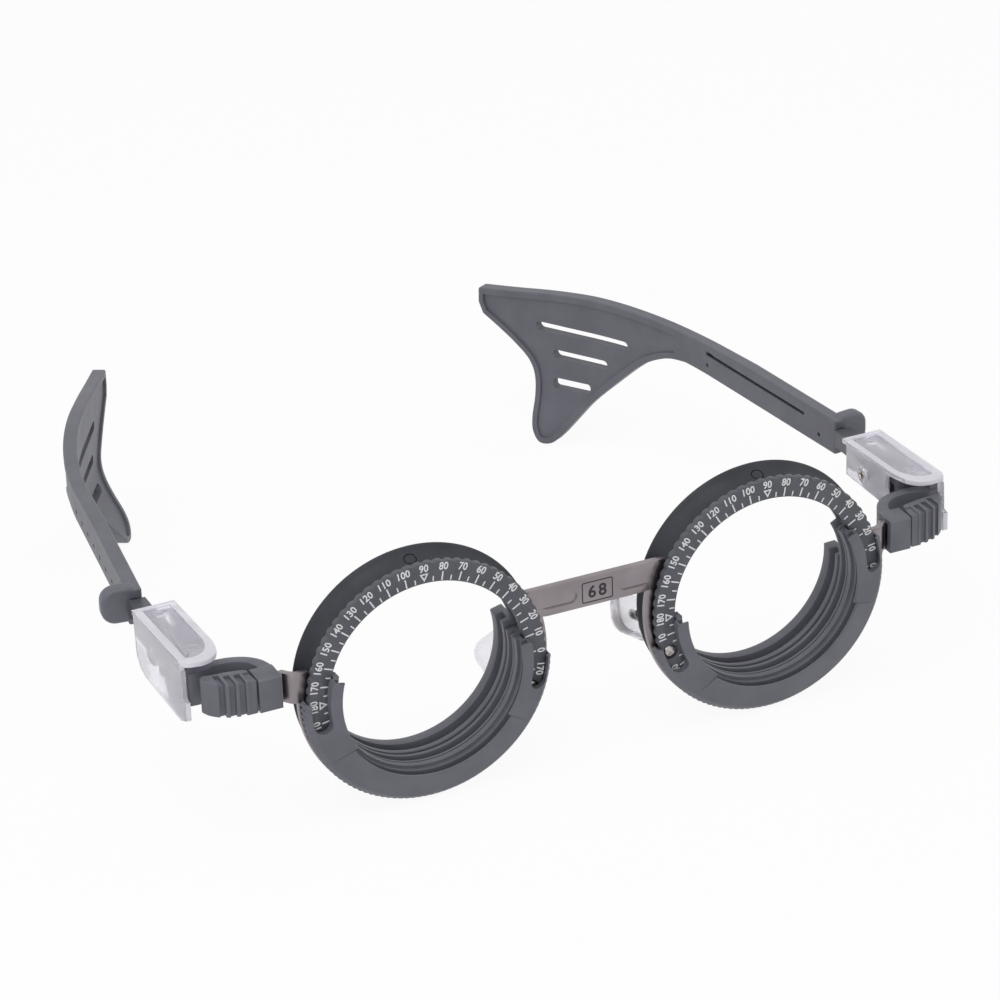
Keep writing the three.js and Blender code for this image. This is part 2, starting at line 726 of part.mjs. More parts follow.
// End clip: block on the lug, band round the rear, post and knuckle for the fold pin
function endClip() {
  const corner = [clipX, clipFront];
  const size = [clipLength, clipDepth];
  const outer = spread(bandOuterShares, corner, size);
  const inner = spread(bandInnerShares, corner, size);
  const band = new THREE.Shape();
  band.moveTo(outer[0].x, outer[0].y);
  band.splineThru(outer.slice(1));
  for (const point of spread(bandEndShares, corner, size)) band.lineTo(point.x, point.y);
  band.lineTo(inner[0].x, inner[0].y);
  band.splineThru(inner.slice(1));
  band.lineTo(inner[inner.length - 1].x, outer[0].y);

  const blockEnd = clipX + clipBlockLength;
  const blockShape = new THREE.Shape([
    new THREE.Vector2(clipFront, clipBottom),
    new THREE.Vector2(clipFront + clipBlockDepth, clipBottom),
    new THREE.Vector2(clipFront + clipBlockDepth, clipTop),
    new THREE.Vector2(clipFront + clipBlockDepth - clipBlockChamfer, clipBlockTop),
    new THREE.Vector2(clipFront + clipBlockChamfer, clipBlockTop),
    new THREE.Vector2(clipFront, clipBlockTop - clipBlockChamfer),
  ]);
  const lugSlot = block(
    [clipX - overrunLength, plateFront + lugBendLength - clearance, lugBottom + tongueInset - clearance],
    [lugEndX + clearance, plateBack + lugBendLength + clearance, lugTop - tongueInset + clearance]);

  const postX = clipX + clipLength - postInset;
  const postTop = clipBottom + postHeight;
  const post = block([postX, clipBack - postDepth, clipBottom], [postX + postWidth, clipBack, postTop]);
  const webStart = new THREE.Vector2(postX + postWidth / 2, clipBack - hingeWebWidth / 2);
  const web = capsule(webStart, new THREE.Vector2(pinX, pinY), hingeWebWidth / 2);
  const bore = rod(pinRadius + pinPlay, 'z', clipBottom, postTop + overrunLength, [pinX, pinY]);
  return slab(band, 'z', clipBottom, clipTop, arcSteps)
    .add(slab(blockShape, 'x', clipX, blockEnd))
    .subtract(lugSlot)
    .add(post)
    .add(slab(web, 'z', knuckleBottom, knuckleTop, arcSteps))
    .add(rod(knuckleRadius, 'z', knuckleBottom, knuckleTop, [pinX, pinY]))
    .subtract(bore);
}

// Ribbed grip lever, rooted at the block and free at its outer end
function gripLever() {
  const corner = [clipX + clipBlockLength + clearance, clipFront];
  const size = [leverLength, leverDepth];
  const leverTop = clipBottom + leverHeight;
  let lever = slab(new THREE.Shape(spread(leverShares, corner, size)), 'z', clipBottom, leverTop);
  for (const groove of spread(leverGrooveShares, corner, size)) {
    const left = groove.x - leverGrooveWidth / 2;
    const right = groove.x + leverGrooveWidth / 2;
    const front = groove.y - overrunLength;
    const above = leverTop + overrunLength;
    lever = lever
      .subtract(block([left, front, clipBottom - overrunLength], [right, groove.y + leverGrooveDepth, above]))
      .subtract(block(
        [left, front, leverTop - leverGrooveDepth], [right, groove.y + leverGrooveLength, above]));
  }
  return lever;
}

// Clear cover: sloping lid, long outer wall with its foot, and short inner wall
function lidHeight(y) {
  return THREE.MathUtils.mapLinear(y, coverFront, coverBack, lidFrontHeight, lidRearHeight);
}

// Side outline from a front to a back station, up to the middle of the sloping lid's thickness
function underLid(front, back, bottom) {
  return new THREE.Shape([
    new THREE.Vector2(front, bottom),
    new THREE.Vector2(back, bottom),
    new THREE.Vector2(back, lidHeight(back) - coverThickness / 2),
    new THREE.Vector2(front, lidHeight(front) - coverThickness / 2),
  ]);
}

function hingeCover() {
  const lidStart = coverFront - overrunLength;
  const lidEnd = coverBack + overrunLength;
  const lidSide = new THREE.Shape([
    new THREE.Vector2(lidStart, lidHeight(lidStart)),
    new THREE.Vector2(lidStart, lidHeight(lidStart) - coverThickness),
    new THREE.Vector2(lidEnd, lidHeight(lidEnd) - coverThickness),
    new THREE.Vector2(lidEnd, lidHeight(lidEnd)),
  ]);
  const lidPlan = new THREE.Shape(spread(lidShares, [coverInnerX, coverFront], [coverWidth, coverLength]));
  const lid = slab(lidSide, 'x', coverInnerX - overrunLength, coverOuterX + overrunLength)
    .intersect(slab(lidPlan, 'z', 0, lidFrontHeight + overrunLength));
  const wallTop = lidRearHeight - coverThickness / 2;
  const outerShape = new THREE.Shape(
    spread(outerWallShares, [coverFront, -outerWallDrop], [coverLength, wallTop + outerWallDrop]));
  const upper = underLid(
    coverFront + 2 * coverThickness, coverBack - coverThickness, wallTop - coverThickness);
  const outer = slab(outerShape, 'x', coverOuterX - coverThickness, coverOuterX)
    .add(slab(upper, 'x', coverOuterX - coverThickness, coverOuterX));
  const innerShape = underLid(
    pinY + innerWallStart, pinY + innerWallStart + innerWallLength, innerWallBottom);
  const screwHole = rod(
    tiltShankRadius + clearance, 'x',
    coverInnerX - overrunLength, coverInnerX + coverThickness + overrunLength,
    [tiltY, tiltHeight]);
  const inner = slab(innerShape, 'x', coverInnerX, coverInnerX + coverThickness).subtract(screwHole);
  return lid.add(outer).add(inner);
}

// Hinge block: two lugs on the fold pin and a crosspiece between the cover's walls
function hingeBlock() {
  const left = coverInnerX + coverThickness + clearance;
  const right = coverOuterX - coverThickness - clearance;
  const cross = block([left, crossFront, blockBottom], [right, crossBack, blockTop]);
  const lugPlan = new THREE.Shape();
  lugPlan.absarc(pinX, pinY, lugRadius, Math.PI, 2 * Math.PI, false);
  lugPlan.lineTo(pinX + lugRadius, crossBack);
  lugPlan.lineTo(pinX - lugRadius, crossBack);
  const bore = rod(
    pinRadius + pinPlay, 'z', blockBottom - overrunLength, blockTop + overrunLength, [pinX, pinY]);
  return cross
    .add(slab(lugPlan, 'z', blockBottom, knuckleBottom - clearance, arcSteps))
    .add(slab(lugPlan, 'z', knuckleTop + clearance, blockTop, arcSteps))
    .subtract(bore);
}

function foldPin() {
  return rod(pinRadius, 'z', pinBottom, pinBottom + pinLength, [pinX, pinY]);
}

function tiltScrew() {
  const centre = [tiltY, tiltHeight];
  const headInner = coverInnerX - clearance;
  const headOuter = headInner - tiltHeadThickness;
  return rod(tiltHeadRadius, 'x', headOuter, headInner, centre)
    .add(rod(tiltShankRadius, 'x', headOuter, coverOuterX - coverThickness - clearance, centre));
}

// Temple arm's path: straight, then an arc, then straight again, in plan
function armPath(station) {
  const start = THREE.MathUtils.degToRad(armAngle);
  const end = THREE.MathUtils.degToRad(armEndAngle);
  const steps = [
    Math.min(station, armStraightLength),
    Math.min(Math.max(station - armStraightLength, 0), armBendLength),
    Math.max(station - armStraightLength - armBendLength, 0),
  ];
  const turn = ((end - start) * steps[1]) / armBendLength;
  const chord = turn > 0 ? (steps[1] * Math.sin(turn / 2)) / (turn / 2) : 0;
  const middle = start + turn / 2;
  const heading = start + turn;
  const across = steps[0] * Math.sin(start) + chord * Math.sin(middle) + steps[2] * Math.sin(heading);
  const back = steps[0] * Math.cos(start) + chord * Math.cos(middle) + steps[2] * Math.cos(heading);
  return { across: pinX + armOutset - across, back: pinY + armSetback + back, heading };
}

// Moves a flat temple's points, (station, height, outward), onto the curved path
function bent(geometry) {
  const position = geometry.getAttribute('position');
  for (let i = 0; i < position.count; i += 1) {
    const height = position.getY(i);
    const drop = THREE.MathUtils.smoothstep(-height, curlStartDepth, finDepth);
    const outwardReach = position.getZ(i) - curlDepth * drop;
    const { across, back, heading } = armPath(position.getX(i));
    position.setXYZ(
      i, across + outwardReach * Math.cos(heading), back + outwardReach * Math.sin(heading), height);
  }
  return outward(geometry);
}

// Halves the long edges behind the straight run, so that the piece can follow the curve
function refined(geometry) {
  const flat = geometry.toNonIndexed().getAttribute('position');
  const corners = Array.from(
    { length: flat.count }, (_, i) => new THREE.Vector3().fromBufferAttribute(flat, i));
  const waiting = Array.from({ length: corners.length / 3 }, (_, i) => corners.slice(3 * i, 3 * i + 3));
  const done = [];
  while (waiting.length > 0) {
    const triangle = waiting.pop();
    const lengths = triangle.map((point, k) => {
      const next = triangle[(k + 1) % 3];
      return Math.max(point.x, next.x) > armStraightLength ? point.distanceTo(next) : 0;
    });
    const longest = Math.max(...lengths);
    if (longest < armStepLength) {
      done.push(...triangle);
    } else {
      const k = lengths.indexOf(longest);
      const [first, second, third] = [triangle[k], triangle[(k + 1) % 3], triangle[(k + 2) % 3]];
      const middle = first.clone().add(second).multiplyScalar(0.5);
      waiting.push([first, middle, third], [middle, second, third]);
    }
  }
  return mergeVertices(new THREE.BufferGeometry().setFromPoints(done));
}

function armOutline() {
  const lower = spread(finEdgeShares, [0, 0], [templeLength, finDepth]);
  const tip = spread(tipShares, [0, 0], [templeLength, finDepth]);
  const upper = spread(topEdgeShares, [0, 0], [templeLength, armHeight]);
  const shape = new THREE.Shape();
  shape.moveTo(-armFrontLength, 0);
  shape.lineTo(lower[0].x, lower[0].y);
  shape.splineThru(lower.slice(1));
  for (const point of tip) shape.lineTo(point.x, point.y);
  shape.splineThru(upper);
  shape.lineTo(-armFrontLength, armHeight);
  return shape;
}

// The outline drawn in by the border's width, for the recessed panel
function insetOutline() {
  const points = armOutline().extractPoints(smallArcSteps).shape;
  return points.map((point, i) => {
    const before = points[(i + points.length - 1) % points.length];
    const after = points[(i + 1) % points.length];
    const along = after.clone().sub(before).normalize();
    return new THREE.Vector2(point.x - finBorderWidth * along.y, point.y + finBorderWidth * along.x);
  });
}

function templeArm() {
  const innerFace = -armThickness;
  let arm = slab(armOutline(), 'z', innerFace, 0, smallArcSteps);
  const panel = new THREE.Shape(insetOutline());
  const panelEnd = [templeLength, armHeight];
  const reach = (from, to) => block([finPanelLength, -finDepth, from], [...panelEnd, to]);
  const recesses = [
    [-finRecessDepth, overrunLength],
    [innerFace - overrunLength, innerFace + finRecessDepth],
  ];
  for (const [from, to] of recesses) {
    arm = arm.subtract(slab(panel, 'z', from, to).intersect(reach(from, to)));
  }
  for (const { from, to } of finSlotShares) {
    const [start, end] = spread([from, to], [0, 0], [templeLength, finDepth]);
    const slot = capsule(start, end, finSlotRadius);
    arm = arm.subtract(slab(slot, 'z', innerFace - overrunLength, overrunLength, smallArcSteps));
  }
  const cavityOuter = -(armThickness - cavityThickness) / 2;
  const cavityInner = cavityOuter - cavityThickness;
  const cavityFront = -armFrontLength - overrunLength;
  arm = arm.subtract(block([cavityFront, cavityBottom, cavityInner], [cavityLength, cavityTop, cavityOuter]));
  arm = arm.subtract(block(
    [rulerSlotStart, rulerSlotBottom, innerFace - overrunLength],
    [rulerSlotStart + rulerSlotLength, rulerSlotBottom + rulerSlotHeight,
      cavityOuter - cavityThickness / 2]));
  for (let i = 0; i < detentCount; i += 1) {
    const place = [detentStart + i * detentSpacing, detentHeight];
    arm = arm.subtract(
      rod(detentRadius, 'z', cavityOuter - cavityThickness / 2, overrunLength, place, detentSegments));
  }
  const tabShape = roundedRectangle(tabWidth + armThickness, tabHeight, tabCornerRadius);
  const tab = new THREE.ExtrudeGeometry(
    tabShape, { depth: tabLength, bevelEnabled: false, curveSegments: smallArcSteps });
  tab.applyMatrix4(new THREE.Matrix4().makeBasis(
    new THREE.Vector3(0, 0, 1), new THREE.Vector3(0, 1, 0), new THREE.Vector3(-1, 0, 0)));
  tab.translate(tabLength - armFrontLength, tabBottom + tabHeight / 2, (tabWidth - armThickness) / 2);
  const inside = block([cavityFront, cavityBottom, cavityInner], [tabLength, cavityTop, cavityOuter]);
  arm = arm.add(toSolid(tab).subtract(inside));

  return bent(refined(toGeometry(arm)));
}

// Slider: head on the tilt screw, neck out of the cover, and a flat bar inside the temple
function sliderBar() {
  const left = coverInnerX + coverThickness + clearance;
  const right = coverOuterX - coverThickness - clearance;
  const bar = new THREE.BoxGeometry(barLength, barHeight, barThickness);
  bar.translate(barLength / 2 - 2 * armFrontLength, barBottom + barHeight / 2, -armThickness / 2);
  const head = rod(headRadius, 'x', left, right, [tiltY, tiltHeight]);
  const armMouth = armPath(-armFrontLength);
  const neckInner = armMouth.across - (armThickness + neckWidth) / 2;
  const neck = block(
    [neckInner, tiltY, neckBottom],
    [neckInner + neckWidth, armMouth.back - neckGap, neckBottom + neckHeight]);
  const bore = rod(
    tiltShankRadius + clearance, 'x', left - overrunLength, right + overrunLength, [tiltY, tiltHeight]);
  return head.add(neck).add(toSolid(bent(mergeVertices(bar)))).subtract(bore);
}

// Assembly
const frame = new THREE.Group();
const opticalLevel = new THREE.Group();
opticalLevel.position.set(0, -bridgeFront, -bridgeMiddle);
frame.add(opticalLevel);

function addPiece(parent, name, shape, material) {
  const geometry = shape.isBufferGeometry ? shape : toGeometry(shape);
  const mesh = new THREE.Mesh(geometry, material);
  mesh.name = name;
  parent.add(mesh);
  return mesh;
}

addPiece(opticalLevel, 'front_plate', frontPlate(), finishes.steel);

const eyePieces = [
  ['rear_shell', rearShell(), finishes.shell],
  ['rear_lens_cell', rearCell(), finishes.grey],
  ['axis_dial', dialRing(), finishes.dial],
  ['nose_pad_arm', padArm(), finishes.dial],
  ['nose_pad', nosePad(), finishes.silicone],
  ['end_clip', endClip(), finishes.grey],
  ['grip_lever', gripLever(), finishes.grey],
  ['fold_pin', foldPin(), finishes.steel],
  ['hinge_cover', hingeCover(), finishes.clear],
  ['hinge_block', hingeBlock(), finishes.grey],
  ['tilt_screw', tiltScrew(), finishes.steel],
  ['slider_bar', sliderBar(), finishes.dial],
  ['temple_arm', templeArm(), finishes.grey],
];
const turningPieces = [
  ['lens_carrier', lensCarrier(), finishes.grey],
  ['carrier_keeper', carrierKeeper(), finishes.grey],
];

for (const [side, sign] of [['left', 1], ['right', -1]]) {
  const eye = new THREE.Group();
  eye.position.x = sign * eyeX;
  opticalLevel.add(eye);
  for (const [name, shape, material] of eyePieces) {
    const geometry = shape.isBufferGeometry ? shape : toGeometry(shape);
    addPiece(eye, `${side}_${name}`, sign > 0 ? geometry : mirrored(geometry), material.clone());
  }
  for (const [name, shape, material] of turningPieces) {
    const piece = addPiece(eye, `${side}_${name}`, shape, material.clone());
    piece.rotation.y = -THREE.MathUtils.degToRad(carrierTurns[side]);
  }
  screwAngles.forEach((angle, i) => {
    const centre = polar(screwCircleRadius, angle);
    const screw = addPiece(eye, `${side}_dial_screw_${i + 1}`, dialScrew(), finishes.steel.clone());
    screw.position.set(sign * centre.x, 0, centre.y);
  });
}

export default frame;
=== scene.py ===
import math

import bpy
from mathutils import Matrix, Vector


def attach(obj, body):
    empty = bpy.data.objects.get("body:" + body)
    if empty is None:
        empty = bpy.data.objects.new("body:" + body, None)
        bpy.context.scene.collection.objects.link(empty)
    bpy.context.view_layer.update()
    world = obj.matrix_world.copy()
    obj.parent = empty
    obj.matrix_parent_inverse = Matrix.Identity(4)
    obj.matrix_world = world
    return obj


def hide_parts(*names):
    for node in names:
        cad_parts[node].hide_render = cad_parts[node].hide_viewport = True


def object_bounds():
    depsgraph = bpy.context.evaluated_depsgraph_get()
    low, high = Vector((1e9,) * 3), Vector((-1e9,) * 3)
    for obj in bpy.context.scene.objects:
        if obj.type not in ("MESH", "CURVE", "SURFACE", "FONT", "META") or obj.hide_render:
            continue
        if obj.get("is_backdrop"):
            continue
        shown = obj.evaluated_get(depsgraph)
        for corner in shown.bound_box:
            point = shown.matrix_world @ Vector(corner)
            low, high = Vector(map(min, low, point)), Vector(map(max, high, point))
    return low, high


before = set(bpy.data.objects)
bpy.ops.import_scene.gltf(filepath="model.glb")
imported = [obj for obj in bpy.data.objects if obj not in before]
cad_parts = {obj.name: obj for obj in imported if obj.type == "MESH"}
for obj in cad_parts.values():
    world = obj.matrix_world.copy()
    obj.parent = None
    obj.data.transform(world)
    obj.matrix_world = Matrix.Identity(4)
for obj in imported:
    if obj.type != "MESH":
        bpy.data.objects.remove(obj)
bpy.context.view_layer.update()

# Front plate
# One stamped sheet of stainless steel: a half ring under each eye, the bridge
# between them and a lug bent back at each end. The rear shells' screws hold it.

EYE = 34.0
BRIDGE_FRONT, PLATE_FRONT, PLATE_BACK = 1.8, 2.0, 3.2
PLATE_INNER, PLATE_OUTER = 21.9, 24.1
BRIDGE_LOW, BRIDGE_TOP, BRIDGE_HIGH = 5.4, 11.1, 11.6
BRIDGE_MIDDLE = (BRIDGE_LOW + BRIDGE_HIGH) / 2
LUG_LOW, LUG_HIGH = 0.4, 6.2


def place(x, y, z):
    """Millimetres from the middle of the dials' faces, as a point of the frame in metres."""
    return Vector((x, y - BRIDGE_FRONT, z - BRIDGE_MIDDLE)) / 1000


def polar(radius, degrees):
    """A point round an eye, in degrees anticlockwise from the picture's right."""
    angle = math.radians(degrees)
    return radius * math.cos(angle), radius * math.sin(angle)


def arc(radius, start, end, steps):
    """Points along an arc round an eye."""
    return [polar(radius, start + (end - start) * i / steps) for i in range(steps + 1)]


def only(piece):
    """Selects one piece and nothing else."""
    bpy.ops.object.select_all(action="DESELECT")
    piece.select_set(True)
    bpy.context.view_layer.objects.active = piece
    return piece


AXES = {
    "x": lambda a, b, depth: (depth, a, b),
    "y": lambda a, b, depth: (a, depth, b),
    "z": lambda a, b, depth: (a, b, depth),
}


def pressed(name, outline, axis, low, high):
    """A flat outline, filled and pushed along an axis from low to high."""
    bpy.ops.object.select_all(action="DESELECT")
    bpy.ops.mesh.primitive_circle_add(vertices=len(outline), radius=1, fill_type="NOTHING")
    piece = bpy.context.object
    piece.name = name
    for vertex, (a, b) in zip(piece.data.vertices, outline):
        vertex.co = place(*AXES[axis](a, b, low))
    bpy.ops.object.mode_set(mode="EDIT")
    bpy.ops.mesh.select_all(action="SELECT")
    bpy.ops.mesh.edge_face_add()
    push = place(*AXES[axis](0, 0, high)) - place(*AXES[axis](0, 0, low))
    bpy.ops.mesh.extrude_region_move(TRANSFORM_OT_translate={"value": push})
    bpy.ops.mesh.select_all(action="SELECT")
    bpy.ops.mesh.normals_make_consistent(inside=False)
    bpy.ops.object.mode_set(mode="OBJECT")
    return piece


def cut(piece, tool, how="DIFFERENCE"):
    """Cuts a piece with a tool, joins them or keeps what they share; the tool is used up."""
    only(piece)
    change = piece.modifiers.new(how.lower(), "BOOLEAN")
    change.operation = how
    change.object = tool
    change.solver = "EXACT"
    bpy.ops.object.modifier_apply(modifier=change.name)
    bpy.data.objects.remove(tool, do_unlink=True)
    return piece


def rounded(piece, radius, steps=2, angle=40):
    """Rounds a piece's sharp edges, in millimetres, and shades it smooth between them."""
    only(piece)
    edge = piece.modifiers.new("edges", "BEVEL")
    edge.width = radius / 1000
    edge.segments = steps
    edge.limit_method = "ANGLE"
    edge.angle_limit = math.radians(angle)
    edge.miter_outer = "MITER_ARC"
    bpy.ops.object.modifier_apply(modifier=edge.name)
    bpy.ops.object.shade_smooth_by_angle(angle=math.radians(angle))
    return piece


def across(piece, name):
    """A copy for the other eye, mirrored, with its faces turned outwards again."""
    twin = piece.copy()
    twin.data = piece.data.copy()
    twin.name = name
    bpy.context.collection.objects.link(twin)
    twin.data.transform(Matrix.Scale(-1, 4, (1, 0, 0)))
    only(twin)
    bpy.ops.object.mode_set(mode="EDIT")
    bpy.ops.mesh.select_all(action="SELECT")
    bpy.ops.mesh.normals_make_consistent(inside=False)
    bpy.ops.object.mode_set(mode="OBJECT")
    return twin


def paint(code):
    """An sRGB hex colour as linear light."""
    parts = [int(code[i : i + 2], 16) / 255 for i in (1, 3, 5)]
    return [c / 12.92 if c <= 0.04045 else ((c + 0.055) / 1.055) ** 2.4 for c in parts] + [1.0]


def add_node(material, kind, settings=None, links=None):
    """Adds a node, sets its values and joins its inputs to other nodes' outputs."""
    node = material.node_tree.nodes.new(kind)
    for key, value in (settings or {}).items():
        if isinstance(key, int) or key in node.inputs:
            node.inputs[key].default_value = value
        else:
            setattr(node, key, value)
    for key, output in (links or {}).items():
        material.node_tree.links.new(output, node.inputs[key])
    return node


def new_material(name):
    material = bpy.data.materials.new(name)
    material.use_nodes = True
    material.node_tree.nodes.clear()
    return material


def dress(piece, material, body, slot, *nodes):
    """Gives a piece its material, its body and the solid that it stands for."""
    piece.data.materials.clear()
    piece.data.materials.append(material)
    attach(piece, body)
    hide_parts(*nodes)


# Stainless steel sheet, stamped and brushed along its length: streaks of about
# 0.1 mm across and 6 mm long, drawn a little coarse so that they show
brushed_steel = new_material("brushed_stainless_sheet")
where = add_node(brushed_steel, "ShaderNodeTexCoord")
streaks = add_node(
    brushed_steel, "ShaderNodeMapping", {"Scale": (160, 6000, 6000)}, {"Vector": where.outputs["Object"]}
)
grain = add_node(
    brushed_steel, "ShaderNodeTexNoise", {"Scale": 1.0, "Detail": 4.0}, {"Vector": streaks.outputs["Vector"]}
)
clouds = add_node(
    brushed_steel, "ShaderNodeTexNoise", {"Scale": 110.0, "Detail": 2.0}, {"Vector": where.outputs["Object"]}
)
steel_tint = add_node(brushed_steel, "ShaderNodeValToRGB", {}, {"Fac": clouds.outputs["Fac"]})
steel_tint.color_ramp.elements[0].position = 0.3
steel_tint.color_ramp.elements[0].color = paint("#857d81")
steel_tint.color_ramp.elements[1].position = 0.7
steel_tint.color_ramp.elements[1].color = paint("#989194")
steel_rough = add_node(
    brushed_steel, "ShaderNodeMapRange", {"To Min": 0.24, "To Max": 0.42}, {"Value": grain.outputs["Fac"]}
)
steel_bump = add_node(
    brushed_steel, "ShaderNodeBump", {"Strength": 0.25, "Distance": 0.00003}, {"Height": grain.outputs["Fac"]}
)
steel_surface = add_node(
    brushed_steel,
    "ShaderNodeBsdfPrincipled",
    {"Metallic": 1.0},
    {
        "Base Color": steel_tint.outputs["Color"],
        "Roughness": steel_rough.outputs["Result"],
        "Normal": steel_bump.outputs["Normal"],
    },
)
add_node(brushed_steel, "ShaderNodeOutputMaterial", {}, {"Surface": steel_surface.outputs["BSDF"]})

nose_angle = 180 - math.degrees(math.asin(BRIDGE_TOP / PLATE_OUTER))
temple_angle = 360 + math.degrees(math.asin(LUG_HIGH / PLATE_OUTER))
SCREW_ANGLES = (200, 270, 340)
SCREW_CIRCLE = 21.3
BOSS_RADIUS = 1.2

half_ring = arc(PLATE_OUTER, nose_angle, temple_angle, 110) + arc(PLATE_INNER, temple_angle, nose_angle, 110)
plate = pressed("left_half", [(x + EYE, z) for x, z in half_ring], "y", PLATE_FRONT, PLATE_BACK)
for angle in SCREW_ANGLES:
    boss_x, boss_z = polar(SCREW_CIRCLE, angle)
    notch = [(boss_x + EYE + x, boss_z + z) for x, z in arc(BOSS_RADIUS + 0.3, 0, 345, 23)]
    cut(plate, pressed("notch", notch, "y", PLATE_FRONT - 1, PLATE_BACK + 1))
lug_plan = [
    (56.0, 2.0), (58.6, 2.0), (59.35, 2.5), (60.3, 3.7), (64.3, 3.7),
    (64.3, 4.9), (59.8, 4.9), (58.95, 3.85), (58.1, 3.2), (56.0, 3.2),
]
lug = pressed("lug", lug_plan, "z", LUG_LOW, LUG_HIGH)
lug_profile = [(55.0, 0.0), (60.6, 0.0), (60.6, 1.2), (65.0, 1.2), (65.0, 5.4), (60.6, 5.4), (60.6, 7.0), (55.0, 7.0)]
cut(lug, pressed("lug_edge", lug_profile, "y", 1.0, 6.0), "INTERSECT")
cut(plate, lug, "UNION")
cut(plate, across(plate, "right_half"), "UNION")
bridge_reach = EYE - math.sqrt(PLATE_OUTER**2 - BRIDGE_HIGH**2) + 1.2
bridge_outline = [
    (-bridge_reach, BRIDGE_LOW), (bridge_reach, BRIDGE_LOW), (bridge_reach, BRIDGE_TOP), (-bridge_reach, BRIDGE_TOP),
]
bridge = pressed("bridge", bridge_outline, "y", PLATE_FRONT, PLATE_BACK)
for side in (-1, 1):
    window = [(side * EYE + x, z) for x, z in arc(PLATE_INNER, 0, 357, 119)]
    cut(bridge, pressed("window", window, "y", 0, 5))
cut(plate, bridge, "UNION")
face_plan = [
    (-10.6, PLATE_FRONT), (-9.5, BRIDGE_FRONT), (9.5, BRIDGE_FRONT), (10.6, PLATE_FRONT),
    (10.6, PLATE_BACK), (-10.6, PLATE_BACK),
]
cut(plate, pressed("bridge_face", face_plan, "z", BRIDGE_LOW, BRIDGE_TOP), "UNION")


def capsule(start, end, radius, steps=10):
    """A slot's outline with round ends."""
    heading = math.degrees(math.atan2(end[1] - start[1], end[0] - start[0]))
    caps = [(end, heading - 90), (start, heading + 90)]
    points = []
    for (x, y), first in caps:
        points += [(x + a, y + b) for a, b in arc(radius, first, first + 180, steps)]
    return points


rounded(plate, 0.28, 2)
for first, last in ((-10.6, -5.0), (5.8, 10.6)):
    for radius, depth in ((1.35, 0.1), (1.18, 0.24)):
        dent = capsule((first, 8.1), (last, 8.1), radius)
        cut(plate, pressed("stiffener", dent, "y", BRIDGE_FRONT - 1, BRIDGE_FRONT + depth))
only(plate)
bpy.ops.object.shade_smooth_by_angle(angle=math.radians(50))
plate.name = "stamped_front_plate"
dress(plate, brushed_steel, "front", "plate_steel", "front_plate")

# The size stamped on the bridge: the distance between the eyes in millimetres,
# in plain figures with a line round them, printed dark in the shallow stamping.

stamp_ink = new_material("dark_stamped_figures")
ink_where = add_node(stamp_ink, "ShaderNodeTexCoord")
ink_grain = add_node(stamp_ink, "ShaderNodeTexNoise", {"Scale": 3000.0}, {"Vector": ink_where.outputs["Object"]})
ink_rough = add_node(stamp_ink, "ShaderNodeMapRange", {"To Min": 0.4, "To Max": 0.6}, {"Value": ink_grain.outputs["Fac"]})
ink_surface = add_node(
    stamp_ink,
    "ShaderNodeBsdfPrincipled",
    {"Base Color": paint("#2f2c31"), "Metallic": 0.3},
    {"Roughness": ink_rough.outputs["Result"]},
)
add_node(stamp_ink, "ShaderNodeOutputMaterial", {}, {"Surface": ink_surface.outputs["BSDF"]})


def round_box(x, y, width, height, corner, steps=6):
    """A rectangle's outline with round corners."""
    points = []
    for sx, sy, first in ((1, 1, 0), (-1, 1, 90), (-1, -1, 180), (1, -1, 270)):
        cx, cy = x + sx * (width / 2 - corner), y + sy * (height / 2 - corner)
        points += [(cx + a, cy + b) for a, b in arc(corner, first, first + 90, steps)]
    return points


def figures(name, text, height, depth, swell, spacing=1.0):
    """Plain figures as a mesh, centred at the origin, standing upright and facing the front."""
    bpy.ops.object.select_all(action="DESELECT")
    bpy.ops.object.text_add()
    words = bpy.context.object
    words.name = name
    words.data.body = text
    words.data.align_x = "CENTER"
    words.data.size = height / 1000 / 0.7
    words.data.extrude = depth / 2000
    words.data.offset = swell / 1000
    words.data.space_character = spacing
    words.data.resolution_u = 3
    bpy.ops.object.convert(target="MESH")
    words = bpy.context.object
    middle = sum((Vector(corner) for corner in words.bound_box), Vector()) / 8
    words.data.transform(Matrix.Rotation(math.pi / 2, 4, "X") @ Matrix.Translation(-middle))
    return words


def joined(pieces, name):
    """Several meshes as one."""
    bpy.ops.object.select_all(action="DESELECT")
    for piece in pieces:
        piece.select_set(True)
    bpy.context.view_layer.objects.active = pieces[0]
    bpy.ops.object.join()
    pieces[0].name = name
    return pieces[0]


mark = figures("size_figures", str(int(2 * EYE)), 2.35, 0.06, 0.07, 1.25)
mark.data.transform(Matrix.Translation(place(0.35, BRIDGE_FRONT, 8.15)))
frame_line = pressed("size_frame", round_box(0.35, 8.15, 6.2, 4.2, 0.4), "y", 1.77, 1.83)
cut(frame_line, pressed("inside", round_box(0.35, 8.15, 5.8, 3.8, 0.25), "y", 1, 3))
size_mark = joined([mark, frame_line], "bridge_size_mark")
size_mark.data.materials.clear()
size_mark.data.materials.append(stamp_ink)
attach(size_mark, "front")

# Rear shells
# The dark dished ring behind each dial, moulded in one piece with the three
# bosses that the dial's screws bite into. It shades the back of the lenses.

SHELL_BORE, SHELL_FRONT, SHELL_BACK = 20.3, 1.5, 7.2
SHELL_NECK, FLANGE_RADIUS = 21.6, 23.4
RING_STEPS = 180


